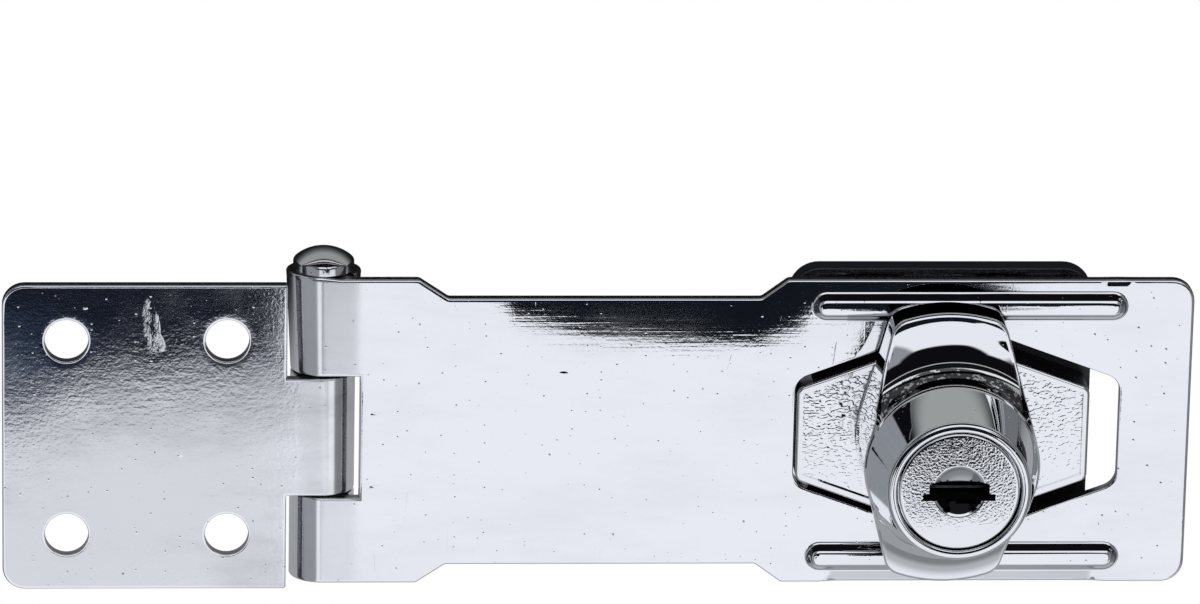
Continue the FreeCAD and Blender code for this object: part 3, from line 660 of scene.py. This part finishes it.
# leaf, unrolled
KI_LO, KI_HI = LEAF_Y - 8.2, LEAF_Y + 8.2
HOLES = [(hx, LEAF_Y + hy) for hx in (-116.2, -95.0) for hy in (-13.55, 13.55)]
le = HX - EDGE_OFF
ends = round_corners([(le, LEAF_Y + HALF), (-124.7, LEAF_Y + HALF), (-124.7, LEAF_Y - HALF), (le, LEAF_Y - HALF)], [0.3, 3.0, 3.0, 0.3], 8)
lo = [(le, KI_LO - 0.9), (le + 0.02, KI_LO), (HX - 0.6, KI_LO)]
lo += tab_side(1, KI_LO, True)
lo += tab_side(1, KI_HI, False)
lo += [(HX - 0.6, KI_HI), (le + 0.02, KI_HI), (le, KI_HI + 0.9)]
lo += ends
lo = densify(lo, 2.5)
holes = []
for hx, hy in HOLES:
    holes.append([(hx + 2.9 * math.cos(-2 * math.pi * i / 64), hy + 2.9 * math.sin(-2 * math.pi * i / 64)) for i in range(64)])
if area(lo) < 0:
    lo = lo[::-1]


def leaf_top(p):
    """A faint rolled-in ring where each hole was punched."""
    z = np.zeros(len(p))
    for hx, hy in HOLES:
        d = np.hypot(p[:, 0] - hx, p[:, 1] - hy)
        z -= 0.003 * np.clip((3.95 - d) / 0.8, 0, 1) ** 2
    return z


hole_lines = []
for hx, hy in HOLES:
    for rr in (3.3, 3.42, 3.55, 3.7, 3.85, 3.95, 4.1):
        hole_lines.append(([(hx + rr * math.cos(2 * math.pi * i / 64), hy + rr * math.sin(2 * math.pi * i / 64)) for i in range(64)], True))
v, f, fm = sheet([lo] + holes, TOP - T, TOP, [0.2] + [0.1] * 4, 0.18, lines=hole_lines + curl_rows(1, KI_LO, KI_HI, EDGE_R)[0], top_fn=leaf_top)
v = curl(v, 1)
leaf = make("leaf", v, f, [M_LEAF, M_EDGE, M_BACK], "leaf", ["hinge_leaf"], angle=26, face_mats=fm)

# ---------------------------------------------------------------- pin
LIP_END = HALF + 0.25
ball = (4.05 ** 2 + 1.6 ** 2) / 3.2
prof = [(2.62, -HALF), (2.62, LIP_END - 0.2), (3.6, LIP_END)]
prof += [(4.05 - 0.22, LIP_END)] + rnd((3.5, LIP_END), (4.05, LIP_END), (4.05, LIP_END + 1), 0.22)
prof += rnd((4.05, LIP_END + 0.6), (4.05, LIP_END + 1.35), (3.6, LIP_END + 1.72), 0.28)
for i in range(14):
    r = 3.72 * (1 - i / 13.0)
    prof.append((max(r, 1e-4), LIP_END + 2.95 - ball + math.sqrt(max(ball ** 2 - r * r, 0))))
tailp = [(1e-4, -HALF - 0.55), (1.2, -HALF - 0.52), (2.3, -HALF - 0.38), (2.9, -HALF - 0.22), (3.12, -HALF - 0.1), (3.12, -HALF), (2.62, -HALF)]
v, f = lathe(tailp + prof, 96, "y", (HX, 0, HZ))
pin = make("pin", v, f, [M_PIN], "hasp", ["hinge_pin"], angle=40)

# ---------------------------------------------------------------- inner shapes taken over from the CAD parts
bpy.context.view_layer.update()


def cad_part(name, keep, below=None):
    """Vertices (mm) and faces of a CAD part: the faces for which keep holds, cut off above a height if asked."""
    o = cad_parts[name]
    bm = bmesh.new()
    bm.from_mesh(o.data)
    bm.transform(Matrix.Scale(1 / MM, 4) @ o.matrix_world)
    if below is not None:
        bmesh.ops.bisect_plane(bm, geom=bm.verts[:] + bm.edges[:] + bm.faces[:], dist=1e-5, plane_co=(0, 0, below), plane_no=(0, 0, 1), clear_outer=True)
    bm.verts.ensure_lookup_table()
    idx, vs, fs = {}, [], []
    for f_ in bm.faces:
        pts = np.array([v_.co[:] for v_ in f_.verts])
        if not keep(pts):
            continue
        t = []
        for v_ in f_.verts:
            if v_ not in idx:
                idx[v_] = len(vs)
                vs.append(tuple(v_.co))
            t.append(idx[v_])
        fs.append(tuple(t))
    bm.free()
    return np.array(vs), fs


def oriented(v, f, test):
    """Faces turned over as a whole if their normals disagree with test(centre) on balance."""
    v = np.asarray(v, float)
    total = 0.0
    for t in f:
        p = v[list(t)]
        n_ = np.cross(p[1] - p[0], p[2] - p[0])
        if len(t) > 3:
            n_ = n_ + np.cross(p[2] - p[0], p[3] - p[0])
        total += float(n_ @ np.asarray(test(p.mean(0)), float))
    return [tuple(t) for t in f] if total > 0 else [tuple(t)[::-1] for t in f]


# ---------------------------------------------------------------- knob
TIPH, TIPC, TIP, KR = 7.4, 17.3, 18.8, 11.6
KB, TIP_Z, SH, FR, FRR, FACE_R = 9.9, 15.2, 23.4, 32.4, 9.4, 8.05


def knob_plan(n_tip=26, n_flank=26, n_round=26):
    """Plan outline of the grip, one quarter mirrored round."""
    d = math.hypot(TIPH, TIPC)
    a = math.atan2(TIPC, TIPH) - math.acos(KR / d)
    tx, ty = KR * math.cos(a), KR * math.sin(a)
    # end arc through the two tip corners and the tip
    h = TIP - TIPC
    ra = (TIPH ** 2 + h ** 2) / (2 * h)
    q = [(KR * math.cos(t), KR * math.sin(t)) for t in np.linspace(0, a, n_round)]
    corner = (TIPH, TIPC)
    rc = 1.6
    u = np.array([tx - TIPH, ty - TIPC])
    u = u / np.linalg.norm(u)
    c0 = np.array(corner) + u * rc * 0.9
    aa = math.asin(TIPH / ra)
    bb = aa - rc * 0.9 / ra
    c1 = np.array([ra * math.sin(bb), TIP - ra + ra * math.cos(bb)])
    for t in np.linspace(0, 1, n_flank)[1:]:
        q.append(tuple(np.array([tx, ty]) * (1 - t) + c0 * t))
    q += [tuple(x) for x in bez(c0, corner, c1, 10)[1:]]
    for t in np.linspace(bb, 0, n_tip)[1:]:
        q.append((ra * math.sin(t), TIP - ra + ra * math.cos(t)))
    q = np.array(q)
    left = q[::-1][1:] * [-1, 1]
    top = np.concatenate([q, left])
    bottom = top[::-1][1:-1] * [1, -1]
    return np.concatenate([top, bottom])


def circle3(p, q, r):
    (x1, y1), (x2, y2), (x3, y3) = p, q, r
    a = np.array([[2 * (x2 - x1), 2 * (y2 - y1)], [2 * (x3 - x1), 2 * (y3 - y1)]])
    b = np.array([x2 ** 2 + y2 ** 2 - x1 ** 2 - y1 ** 2, x3 ** 2 + y3 ** 2 - x1 ** 2 - y1 ** 2])
    c = np.linalg.solve(a, b)
    return c, math.hypot(c[0] - x1, c[1] - y1)


SC, SR = circle3((TIP, TIP_Z), (14.2, 17.3), (KR, SH - 0.5))


def saddle_z(r):
    """Height of the concave saddle at a radius from the knob's axis."""
    r = np.minimum(np.maximum(r, KR), TIP)
    return SC[1] - np.sqrt(np.maximum(SR ** 2 - (r - SC[0]) ** 2, 0))


plan = knob_plan()
pr = np.hypot(plan[:, 0], plan[:, 1])
unit = plan / pr[:, None]
LIPR = 0.55
rows = []


def ring_row(radius, z):
    rows.append(np.column_stack([unit * np.broadcast_to(radius, pr.shape)[:, None], np.broadcast_to(z, pr.shape)]))


# underside, from the hub outwards
for r_, z_ in ((8.57, KB), (8.6, KB)):
    ring_row(r_, z_)
base_in = np.maximum(pr - 0.5, 8.7)
ring_row(base_in, KB)
for k in range(1, 5):
    a = math.pi / 2 * k / 4
    ring_row(pr - 0.5 * (1 - math.sin(a)), KB + 0.5 * (1 - math.cos(a)))
# wall and rounded lip; the lip's height follows the saddle
z_in = saddle_z(pr - LIPR)
z_edge = z_in
for t in (0.33, 0.66, 1.0):
    ring_row(pr, KB + 0.5 + (z_edge - LIPR - KB - 0.5) * t)
for k in range(1, 7):
    a = math.pi / 2 * k / 6
    ring_row(pr - LIPR * (1 - math.cos(a)), z_edge - LIPR + LIPR * math.sin(a))
# saddle inwards to the shoulder
N_S = 30
for k in range(1, N_S + 1):
    t = (k / N_S) ** 0.75
    r_ = (pr - LIPR) + (KR - (pr - LIPR)) * t
    flat = pr - LIPR <= KR + 0.02
    z_ = np.where(flat, z_edge + (SH - 0.5 - z_edge) * (k / N_S), saddle_z(r_))
    ring_row(np.where(flat, (pr - LIPR) + (KR - 0.1 - (pr - LIPR)) * min(1.0, t), r_), z_)
# shoulder line, cone, front ring, counterbore
ring_row(KR - 0.02, SH - 0.42)
ring_row(KR - 0.10, SH - 0.25)
ring_row(KR - 0.22, SH - 0.12)
ring_row(KR - 0.28, SH)
slope = (FRR - (KR - 0.28)) / (FR - SH)
for t in np.linspace(0.04, 0.93, 14):
    ring_row(KR - 0.28 + slope * t * (FR - SH), SH + t * (FR - SH))
c_out = (FRR, FR)
for r_, z_ in rnd((KR - 0.28, SH), c_out, (FACE_R, FR), 0.55, 6):
    ring_row(r_, z_)
for r_, z_ in rnd((FRR, FR), (FACE_R + 0.12, FR), (FACE_R + 0.12, FR - 2), 0.3, 5):
    ring_row(r_, z_)
ring_row(FACE_R, FR - 0.6)
ring_row(FACE_R, 32.15 - 1.6 - 0.1)
n = len(plan)
v = np.concatenate(rows)
f = []
for k in range(len(rows) - 1):
    for i in range(n):
        j = (i + 1) % n
        f.append((k * n + i, k * n + j, (k + 1) * n + j, (k + 1) * n + i))
kmat = []
for q_ in f:
    c_ = v[list(q_)].mean(0)
    r_ = math.hypot(c_[0], c_[1])
    # material 1: painted dark reflection on the tips' end walls
    end = abs(c_[1]) > 16.9 and KB + 0.3 < c_[2] < float(saddle_z(np.array(r_ - LIPR))) - LIPR + 0.02 and r_ > 17.3
    # material 2: painted dark reflection at the saddle's root, on the +Y side only
    root = c_[1] > 7.0 and KR - 0.06 < r_ < 12.55 and 19.2 < c_[2] < SH - 0.42
    kmat.append(1 if end else 2 if root else 0)
f = oriented(v, f, lambda c: (c[0], c[1], 0.3))
# hub, spindle, bore and wafer grooves are the CAD part's own
vi, fi = cad_part("knob_shell", lambda p: not ((p[:, 2] > KB - 0.01).all() and (np.hypot(p[:, 0], p[:, 1]) > FACE_R - 0.02).all()))
f += [tuple(i + len(v) for i in t) for t in fi]
kmat += [0] * len(fi)
v = np.concatenate([v, vi])
knob = make("knob", v, f, [M_KNOB, M_KNOB_END_PAINTED_DARK, M_KNOB_ROOT_PAINTED_DARK], "knob", ["knob_shell"], angle=38, merge=1e-3, face_mats=kmat, recalc=False)

# ---------------------------------------------------------------- plug
PF, PHR = 32.15, 7.92
DR, DD = 3.5, 0.95
dish_ball = (DR ** 2 + DD ** 2) / (2 * DD)


def dish(p):
    r = np.hypot(p[:, 0], p[:, 1])
    z = PF - DD + dish_ball - np.sqrt(np.maximum(dish_ball ** 2 - r ** 2, 0)) - PF
    return np.where(r < DR, z, 0.0)


keyway = [(-4.75, -1.3), (4.75, -1.3), (4.75, -0.35), (3.95, -0.35), (3.95, 1.0), (2.95, 1.25), (-2.95, 1.25), (-3.95, 1.0), (-3.95, -0.35), (-4.75, -0.35)]
keyway = densify(keyway, 0.35)
if area(keyway) > 0:
    keyway = keyway[::-1]
key_in = keyway


def ring_pts(r, n=160):
    return [(r * math.cos(2 * math.pi * i / n), r * math.sin(2 * math.pi * i / n)) for i in range(n)]


v_all, f_all, fm = [], [], []


def push(v, f, m):
    s = sum(len(a) for a in v_all)
    v_all.append(np.asarray(v, float))
    f_all.extend([tuple(int(i) + s for i in t) for t in f])
    fm.extend([m] * len(f))


def face_z(p):
    return PF + dish(p)


dring = ring_pts(DR)
# the face is one plate: a grainy field that dies out towards its border, and the bare dish in the middle
p2, t2 = fill([ring_pts(PHR - 0.3), key_in],
              lines=[(dring, True), (ring_pts(DR + 0.12), True), (ring_pts(PHR - 0.55), True)] + [(ring_pts(r, 120), True) for r in (3.38, 3.2, 2.95, 2.6, 2.2, 1.8)])
zz = face_z(p2)
cen = p2[t2].mean(1)
rc_ = np.hypot(cen[:, 0], cen[:, 1])
# inside the dish: painted grey reflection on the +Y half (3), painted dark reflection on the -Y half (4)
mids = np.where(rc_ > DR, 1, np.where(rc_ > 3.2, 0, np.where(cen[:, 1] > 0, 3, 4)))
for m_ in (0, 1, 3, 4):
    push(np.column_stack([p2, zz]), t2[mids == m_], m_)
# border round and head side
HEAD_CUT = PF - 0.8
prof = [(PHR - 0.3, PF)] + rnd((PHR - 1, PF), (PHR, PF), (PHR, PF - 1), 0.3, 5) + [(PHR, HEAD_CUT)]
v, f = lathe(prof, 160)
push(v, oriented(v, f, lambda c: (c[0], c[1], 1.0)), 0)
# keyway walls down to the wafers: the top band keeps the plug's chrome, the deeper band gets painted shade
kp = np.asarray(keyway, float)
zt = face_z(kp)
rows_k = [np.column_stack([kp, zt])] + [np.column_stack([kp, zt - (zt - HEAD_CUT) * t]) for t in (0.4, 1.0)]
nk = len(kp)
kv = np.concatenate(rows_k)
for k in range(len(rows_k) - 1):
    kf = [(k * nk + i, k * nk + (i + 1) % nk, (k + 1) * nk + (i + 1) % nk, (k + 1) * nk + i) for i in range(nk)]
    push(kv, oriented(kv, kf, lambda c: (-c[0], -c[1], 0.0)), 0 if k == 0 else 2)
# body, wafer slots, spring pockets and tail pin are the CAD part's own
vi, fi = cad_part("plug", lambda p: True, below=HEAD_CUT)
# keyway faces of the CAD body get painted shade
in_key = []
for t in fi:
    c_ = vi[list(t)].mean(0)
    in_key.append(abs(c_[0]) < 4.9 and abs(c_[1]) < 1.7 and c_[2] > 9.2)
push(vi, [t for t, k_ in zip(fi, in_key) if not k_], 0)
push(vi, [t for t, k_ in zip(fi, in_key) if k_], 2)
plug = make("key_plug", np.concatenate(v_all), f_all, [M_PLUG, M_PLUG_GRAIN, M_KEYWAY_GREASE_AND_SHADE, M_DISH_FAR_PAINTED_GREY, M_DISH_NEAR_PAINTED_DARK], "plug", ["plug"], angle=30, merge=1e-3, face_mats=fm, recalc=False)

# ---------------------------------------------------------------- base: grainy sunk panels over the cast part
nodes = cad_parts


def hexagon(hx, e, h):
    r = (h - e) / 0.37
    return [(-hx, -e), (-hx + r, -h), (hx - r, -h), (hx, -e), (hx, e), (hx - r, h), (-hx + r, h), (-hx, e)]


RIM = 0.85
for side, nm in ((-1, "base_panel_left"), (1, "base_panel_right")):
    hexa = round_corners(hexagon(19.5 - RIM - 0.03, 6.4 - RIM + 0.15, 12.0 - RIM - 0.03), [0.1, 0.1, 0.1, 0.1, 0.1, 0.1, 0.1, 0.1], 4)
    hexa = [p for p in densify(hexa, 0.7)]
    cr, off = 23.78, 13.3
    # keep the part of the sunk panel outside the plain land, on this side
    poly = [p for p in hexa if p[0] * side > 0 and math.hypot(p[0] + side * off, p[1]) > cr]
    poly.sort(key=lambda p: math.atan2(p[1], p[0] * side))
    a_hi = math.atan2(poly[-1][1], poly[-1][0] * side + off)
    a_lo = math.atan2(poly[0][1], poly[0][0] * side + off)
    arc = [(side * (cr * math.cos(t) - off), cr * math.sin(t)) for t in np.linspace(a_hi, a_lo, 30)]
    loop = [(p[0], p[1]) for p in poly] + arc
    if area(loop) < 0:
        loop = loop[::-1]
    xs = np.arange(-19.4, 19.4, 0.42)
    ys = np.arange(-11.4, 11.4, 0.42)
    grid = np.array([(x + 0.1 * math.sin(7 * y), y) for x in xs for y in ys])
    ins = inside(grid, [inset(loop, 0.2)])
    p2, t2 = fill([loop], points=grid[ins])
    zg = 9.6 - 0.55 + 0.03 + 0.012 * np.array([noise.noise(Vector((x * 1.9, y * 1.9, side * 3.0))) for x, y in p2])
    make(nm, np.column_stack([p2, zg]), t2, [M_PANEL], "hasp", angle=60)

for name, mat in {"lock_base": M_BASE, "wave_washer": M_SPRING, "back_washer": M_STEEL, "retaining_clip": M_STEEL,
                  "plug_retainer": M_STEEL, "lock_bolt": M_STEEL}.items():
    o = nodes[name]
    o.data.materials.clear()
    o.data.materials.append(mat)
for i in range(1, 7):
    for nm, mat in (("wafer_%d" % i, M_BRASS), ("wafer_spring_%d" % i, M_SPRING)):
        nodes[nm].data.materials.clear()
        nodes[nm].data.materials.append(mat)
    # grease and shade where the wafer's window meets the keyway
    nodes["wafer_%d" % i].data.materials.append(M_KEYWAY_GREASE_AND_SHADE)
    for p_ in nodes["wafer_%d" % i].data.polygons:
        c_ = nodes["wafer_%d" % i].matrix_world @ p_.center
        if abs(c_.x) < 5.3 * MM and abs(c_.y) < 2.4 * MM:
            p_.material_index = 1
# painted shade: the gap walls round the boss get a dark rough material
base_me = nodes["lock_base"].data
base_me.materials.append(M_PAINTED_SHADE)
for p_ in base_me.polygons:
    c_ = p_.center
    x_, y_, z_ = abs(c_.x) / MM, abs(c_.y) / MM, c_.z / MM
    if 2.6 < z_ < 9.2 and x_ < 20.3 and y_ < 12.5 + 2.1 and math.hypot(x_, y_) > 8.9 and not (z_ > 6.9 and abs(p_.normal.z) > 0.9):
        p_.material_index = 1
    # painted shade on the upper edge round of the flange plate, far (+Y) side
    if c_.y / MM > 15.0 and 2.7 < c_.z / MM < 3.05 and 0.05 < p_.normal.z < 0.985:
        p_.material_index = 1
for o in nodes.values():
    o.data.set_sharp_from_angle(angle=math.radians(28))
    weigh(o)

# ---------------------------------------------------------------- stage


def quad(name, pts, mat):
    me = bpy.data.meshes.new(name)
    me.from_pydata([tuple(p) for p in pts], [], [tuple(range(len(pts)))])
    me.materials.append(mat)
    o = bpy.data.objects.new(name, me)
    bpy.context.scene.collection.objects.link(o)
    return o


def emit(name, color, strength=1.0):
    m = bpy.data.materials.new(name)
    m.use_nodes = True
    nt = m.node_tree
    for n_ in list(nt.nodes):
        nt.nodes.remove(n_)
    out = nt.nodes.new("ShaderNodeOutputMaterial")
    e = nt.nodes.new("ShaderNodeEmission")
    e.inputs[0].default_value = tuple(color) + (1,)
    e.inputs[1].default_value = strength
    nt.links.new(e.outputs[0], out.inputs[0])
    return m


def only(o, camera=False, glossy=False, diffuse=False, shadow=False):
    o.visible_camera = camera
    o.visible_glossy = glossy
    o.visible_diffuse = diffuse
    o.visible_transmission = False
    o.visible_volume_scatter = False
    o.visible_shadow = shadow


S = 6.0
fm_ = emit("floor_white", (1.0, 1.0, 1.0))
floor = quad("floor", [(-S, -S, -0.0003), (S, -S, -0.0003), (S, S, -0.0003), (-S, S, -0.0003)], fm_)
only(floor, diffuse=True)


def blend_emit(name, axis, a, b, ca, cb, ragged=0.0, scale=60.0):
    """Glowing card whose colour runs along one of its own axes, with an uneven boundary if asked."""
    m = bpy.data.materials.new(name)
    m.use_nodes = True
    nt = m.node_tree
    for n_ in list(nt.nodes):
        nt.nodes.remove(n_)
    g = G(nt)
    co = g.coord()
    sp = g.n("ShaderNodeSeparateXYZ")
    g.l(co, sp.inputs[0])
    v_ = sp.outputs[axis]
    if ragged:
        v_ = g.math("ADD", v_, g.math("MULTIPLY", g.math("SUBTRACT", g.noise(co, scale, 4.0, 0.6), 0.5), ragged))
    e = g.n("ShaderNodeEmission")
    g.l(g.mix(g.rng(v_, a, b, 0.0, 1.0, True), tuple(ca) + (1,), tuple(cb) + (1,)), e.inputs[0])
    o_ = g.n("ShaderNodeOutputMaterial")
    g.l(e.outputs[0], o_.inputs[0])
    return m


def floor_tones():
    """Grey floor as the plate mirrors it: pale beyond the far edge, black in the shade along that edge."""
    m = bpy.data.materials.new("floor_reflection")
    m.use_nodes = True
    nt = m.node_tree
    for n_ in list(nt.nodes):
        nt.nodes.remove(n_)
    g = G(nt)
    sp = g.n("ShaderNodeSeparateXYZ")
    g.l(g.coord(), sp.inputs[0])
    near = g.mix(g.rng(sp.outputs[1], 0.0, 0.018, 0.0, 1.0, True), (0.34, 0.35, 0.37, 1), (0.010, 0.011, 0.013, 1))
    c_ = g.mix(g.rng(sp.outputs[1], 0.0245, 0.034, 0.0, 1.0, True), near, (0.34, 0.36, 0.36, 1))
    c_ = g.mix(g.rng(sp.outputs[1], 0.050, 0.056, 0.0, 1.0, True), c_, (0.006, 0.007, 0.009, 1))
    c_ = g.mix(g.rng(sp.outputs[1], 0.066, 0.072, 0.0, 1.0, True), c_, (0.80, 0.81, 0.82, 1))
    c_ = g.mix(g.rng(sp.outputs[1], 0.098, 0.108, 0.0, 1.0, True), c_, (0.006, 0.007, 0.009, 1))
    e = g.n("ShaderNodeEmission")
    g.l(c_, e.inputs[0])
    o_ = g.n("ShaderNodeOutputMaterial")
    g.l(e.outputs[0], o_.inputs[0])
    return m


M_FLOORG = floor_tones()
floor_g = quad("floor_seen_in_chrome", [(-S, -S, -0.0004), (S, -S, -0.0004), (S, S, -0.0004), (-S, S, -0.0004)],
               M_FLOORG)
only(floor_g, glossy=True)

# world: bright overhead, dark low band all round
w = bpy.data.worlds.new("studio")
bpy.context.scene.world = w
w.use_nodes = True
nt = w.node_tree
for n_ in list(nt.nodes):
    nt.nodes.remove(n_)
g = G(nt)
out = g.n("ShaderNodeOutputWorld")
bg = g.n("ShaderNodeBackground")
tc = g.n("ShaderNodeTexCoord").outputs["Generated"]
sep = g.n("ShaderNodeSeparateXYZ")
g.l(tc, sep.inputs[0])
X_, Y_, Z_ = sep.outputs["X"], sep.outputs["Y"], sep.outputs["Z"]
neg = lambda v_: g.math("MULTIPLY", v_, -1.0)
sky = g.mix(g.rng(Z_, 0.16, 0.34, 0.0, 1.0, True), (0.34, 0.35, 0.37, 1), (0.86, 0.88, 0.935, 1))
low_near = g.math("MULTIPLY", g.rng(Z_, 0.48, 0.78, 1.0, 0.0, True), g.rng(neg(Y_), 0.35, 0.62, 0.0, 1.0, True))
sky = g.mix(low_near, sky, (0.46, 0.475, 0.50, 1))
lower_near = g.math("MULTIPLY", g.rng(Z_, 0.20, 0.46, 1.0, 0.0, True), g.rng(neg(Y_), 0.5, 0.8, 0.0, 1.0, True))
sky = g.mix(lower_near, sky, (0.22, 0.235, 0.25, 1))
left = g.rng(neg(X_), 0.25, 0.32, 0.0, 1.0, True)
sky = g.mix(left, sky, (0.28, 0.295, 0.32, 1))
left_low = g.math("MULTIPLY", g.rng(neg(X_), 0.5, 0.7, 0.0, 1.0, True), g.rng(Z_, 0.28, 0.38, 1.0, 0.0, True))
sky = g.mix(left_low, sky, (0.03, 0.033, 0.04, 1))
right = g.rng(X_, 0.60, 0.68, 0.0, 1.0, True)
sky = g.mix(right, sky, (0.20, 0.20, 0.205, 1))
right_low = g.math("MULTIPLY", g.rng(X_, 0.6, 0.8, 0.0, 1.0, True), g.rng(Z_, 0.10, 0.40, 1.0, 0.0, True))
sky = g.mix(right_low, sky, (0.03, 0.035, 0.05, 1))
far = g.math("MULTIPLY", g.rng(Z_, 0.40, 0.47, 1.0, 0.0, True), g.rng(Y_, 0.45, 0.60, 0.0, 1.0, True))
far = g.math("MAXIMUM", far, g.math("MULTIPLY", g.rng(Z_, 0.58, 0.63, 1.0, 0.0, True), g.rng(Y_, 0.72, 0.78, 0.0, 1.0, True)))
for spot in ((0.542, 0.33, 0.773), (-0.503, 0.435, 0.747)):
    dt = g.n("ShaderNodeVectorMath", operation="DOT_PRODUCT")
    g.l(tc, dt.inputs[0])
    dt.inputs[1].default_value = spot
    far = g.math("MAXIMUM", far, g.rng(dt.outputs["Value"], 0.9860, 0.9900, 0.0, 1.0, True))
sky = g.mix(far, sky, (0.004, 0.004, 0.006, 1))
brim = g.math("MULTIPLY", g.rng(Z_, 0.012, 0.040, 1.0, 0.0, True), g.rng(Y_, 0.5, 0.6, 0.0, 1.0, True))
sky = g.mix(brim, sky, (0.55, 0.55, 0.55, 1))
dt = g.n("ShaderNodeVectorMath", operation="DOT_PRODUCT")
g.l(tc, dt.inputs[0])
dt.inputs[1].default_value = (0.62, 0.10, 0.78)
sky = g.mix(g.rng(dt.outputs["Value"], 0.9700, 0.9800, 0.0, 1.0, True), sky, (0.17, 0.18, 0.19, 1))
g.l(sky, bg.inputs[0])
bg.inputs[1].default_value = 1.0
g.l(bg.outputs[0], out.inputs[0])

# pale backdrop that only the camera sees
bpy.ops.mesh.primitive_uv_sphere_add(segments=48, ring_count=24, radius=5.5)
dome = bpy.context.object
dome.name = "backdrop"
dome.data.materials.append(emit("backdrop_white", (1.0, 1.0, 1.0)))
only(dome, camera=True)

BLACK = emit("card_black", (0.006, 0.008, 0.012))
CARD_H = 0.35


def card_pt(x, y):
    """Where on the card's plane the sheet's point (x, y) in mm shows its mirror image."""
    return 1.336 * x + 38.3, 1.336 * y - 122.6


def card(name, pts, mat, h=CARD_H):
    o = quad(name, [(x * MM, y * MM, TOP * MM + h) for x, y in pts], mat)
    only(o, glossy=True)
    return o


edge_in_strap = [(-66.0, 23.0), (-60.0, 19.2), (-58.1, 17.9), (-56.8, 15.9), (-46.9, 13.6), (-32.3, 12.2), (-24.4, 12.5), (-19.1, 14.3), (-17.5, 16.8)]
over = [card_pt(*p) for p in edge_in_strap]
over += [(16.0, -100.8), (25.0, -100.8), (25.2, -102.0), (21.6, -112.0), (23.0, -119.0), (44.0, -118.0), (48.0, -110.0), (48.5, -101.2), (54.0, -100.6), (58.0, -98.2), (44.0, -97.6), (47.0, -95.5), (50.0, -94.0), (62.0, -72.0),
         (330.0, -60.0), (330.0, 40.0), (75.0, 40.0), (68.0, 67.0), (-300.0, 67.0), (-300.0, -60.0), (-56.0, -72.0)]
card("card_over_strap", over, BLACK)


def leaf_tones():
    """Mirror image over the leaf: navy black beyond, pale lavender near, with a ragged streaky change."""
    m = bpy.data.materials.new("card_leaf")
    m.use_nodes = True
    nt = m.node_tree
    for n_ in list(nt.nodes):
        nt.nodes.remove(n_)
    g = G(nt)
    co = g.coord()
    sp = g.n("ShaderNodeSeparateXYZ")
    g.l(co, sp.inputs[0])
    x_, y_ = sp.outputs[0], sp.outputs[1]
    lower = g.math("MULTIPLY", g.rng(x_, -0.137, -0.098, 1.0, 0.0, True), 0.016)
    lower2 = g.math("MULTIPLY", g.rng(x_, -0.062, -0.045, 0.0, 1.0, True), 0.005)
    v_ = g.math("ADD", y_, g.math("ADD", lower, lower2))
    v_ = g.math("ADD", v_, g.math("MULTIPLY", g.math("SUBTRACT", g.noise(co, 70.0, 4.0, 0.65), 0.5), 0.034))
    t_ = g.rng(v_, -0.553, -0.530, 0.0, 1.0, True)
    blue = g.rng(x_, -0.141, -0.100, 1.0, 0.12, True)
    dark = g.mix(blue, (0.008, 0.011, 0.020, 1), (0.024, 0.040, 0.072, 1))
    deep = g.rng(y_, -0.529, -0.514, 0.0, 1.0, True)
    dark = g.mix(deep, dark, (0.008, 0.010, 0.018, 1))
    e = g.n("ShaderNodeEmission")
    g.l(g.mix(t_, (0.70, 0.715, 0.76, 1), dark), e.inputs[0])
    o_ = g.n("ShaderNodeOutputMaterial")
    g.l(e.outputs[0], o_.inputs[0])
    return m


card("card_over_leaf", [(-230.0, -650.0), (-40.0, -650.0), (-40.0, -450.0), (-230.0, -450.0)], leaf_tones(), h=1.60)
card("card_right_of_knob", [(63.0, -105.0), (190.0, -105.0), (190.0, -12.0), (63.0, -12.0)], emit("card_grey", (0.20, 0.215, 0.23)), h=0.141)


def soft_light(name, loc, target, size, power, color=(1, 1, 1)):
    L = bpy.data.lights.new(name, "AREA")
    L.shape = "RECTANGLE"
    L.size, L.size_y = size
    L.energy = power
    L.color = color
    o = bpy.data.objects.new(name, L)
    o.location = loc
    o.rotation_mode = "QUATERNION"
    o.rotation_quaternion = (Vector(target) - Vector(loc)).to_track_quat("-Z", "Y")
    bpy.context.scene.collection.objects.link(o)
    o.visible_glossy = False
    return o


soft_light("key", (0.1, 0.5, 1.2), (0, 0, 0), (1.5, 1.5), 10)
soft_light("fill", (-0.3, -0.8, 1.0), (0, 0, 0), (1.5, 1.2), 6)

# ---------------------------------------------------------------- camera
SIN_T, SIN_P = 0.3156, 0.0628
PXMM = 7.583
d = Vector((-SIN_P, SIN_T, 0.0))
d.z = math.sqrt(1 - d.x ** 2 - d.y ** 2)
right_v = Vector((1, 0, 0))
right_v = (right_v - d * right_v.dot(d)).normalized()
up_v = d.cross(right_v).normalized()
# the point that projects on the picture's centre, on the plane z = 9.6 mm
cx = (600 - 945.2) / PXMM
cy = (435.5 - 302) / PXMM
q = Vector((0, 0, 9.6)) + right_v * cx + up_v * cy
t = (9.6 - q.z) / d.z
target = (q + d * t) * MM
DIST = 1.10
cam_d = bpy.data.cameras.new("camera")
cam_d.sensor_width = 36.0
cam_d.lens = DIST * 36.0 / (1200 / PXMM * MM)
cam_d.clip_start, cam_d.clip_end = 0.05, 20
cam = bpy.data.objects.new("camera", cam_d)
bpy.context.scene.collection.objects.link(cam)
cam.matrix_world = Matrix((
    (right_v.x, up_v.x, d.x, target.x + d.x * DIST),
    (right_v.y, up_v.y, d.y, target.y + d.y * DIST),
    (right_v.z, up_v.z, d.z, target.z + d.z * DIST),
    (0, 0, 0, 1)))
bpy.context.scene.camera = cam

sc = bpy.context.scene
sc.view_settings.view_transform = "Standard"
sc.view_settings.look = "None"
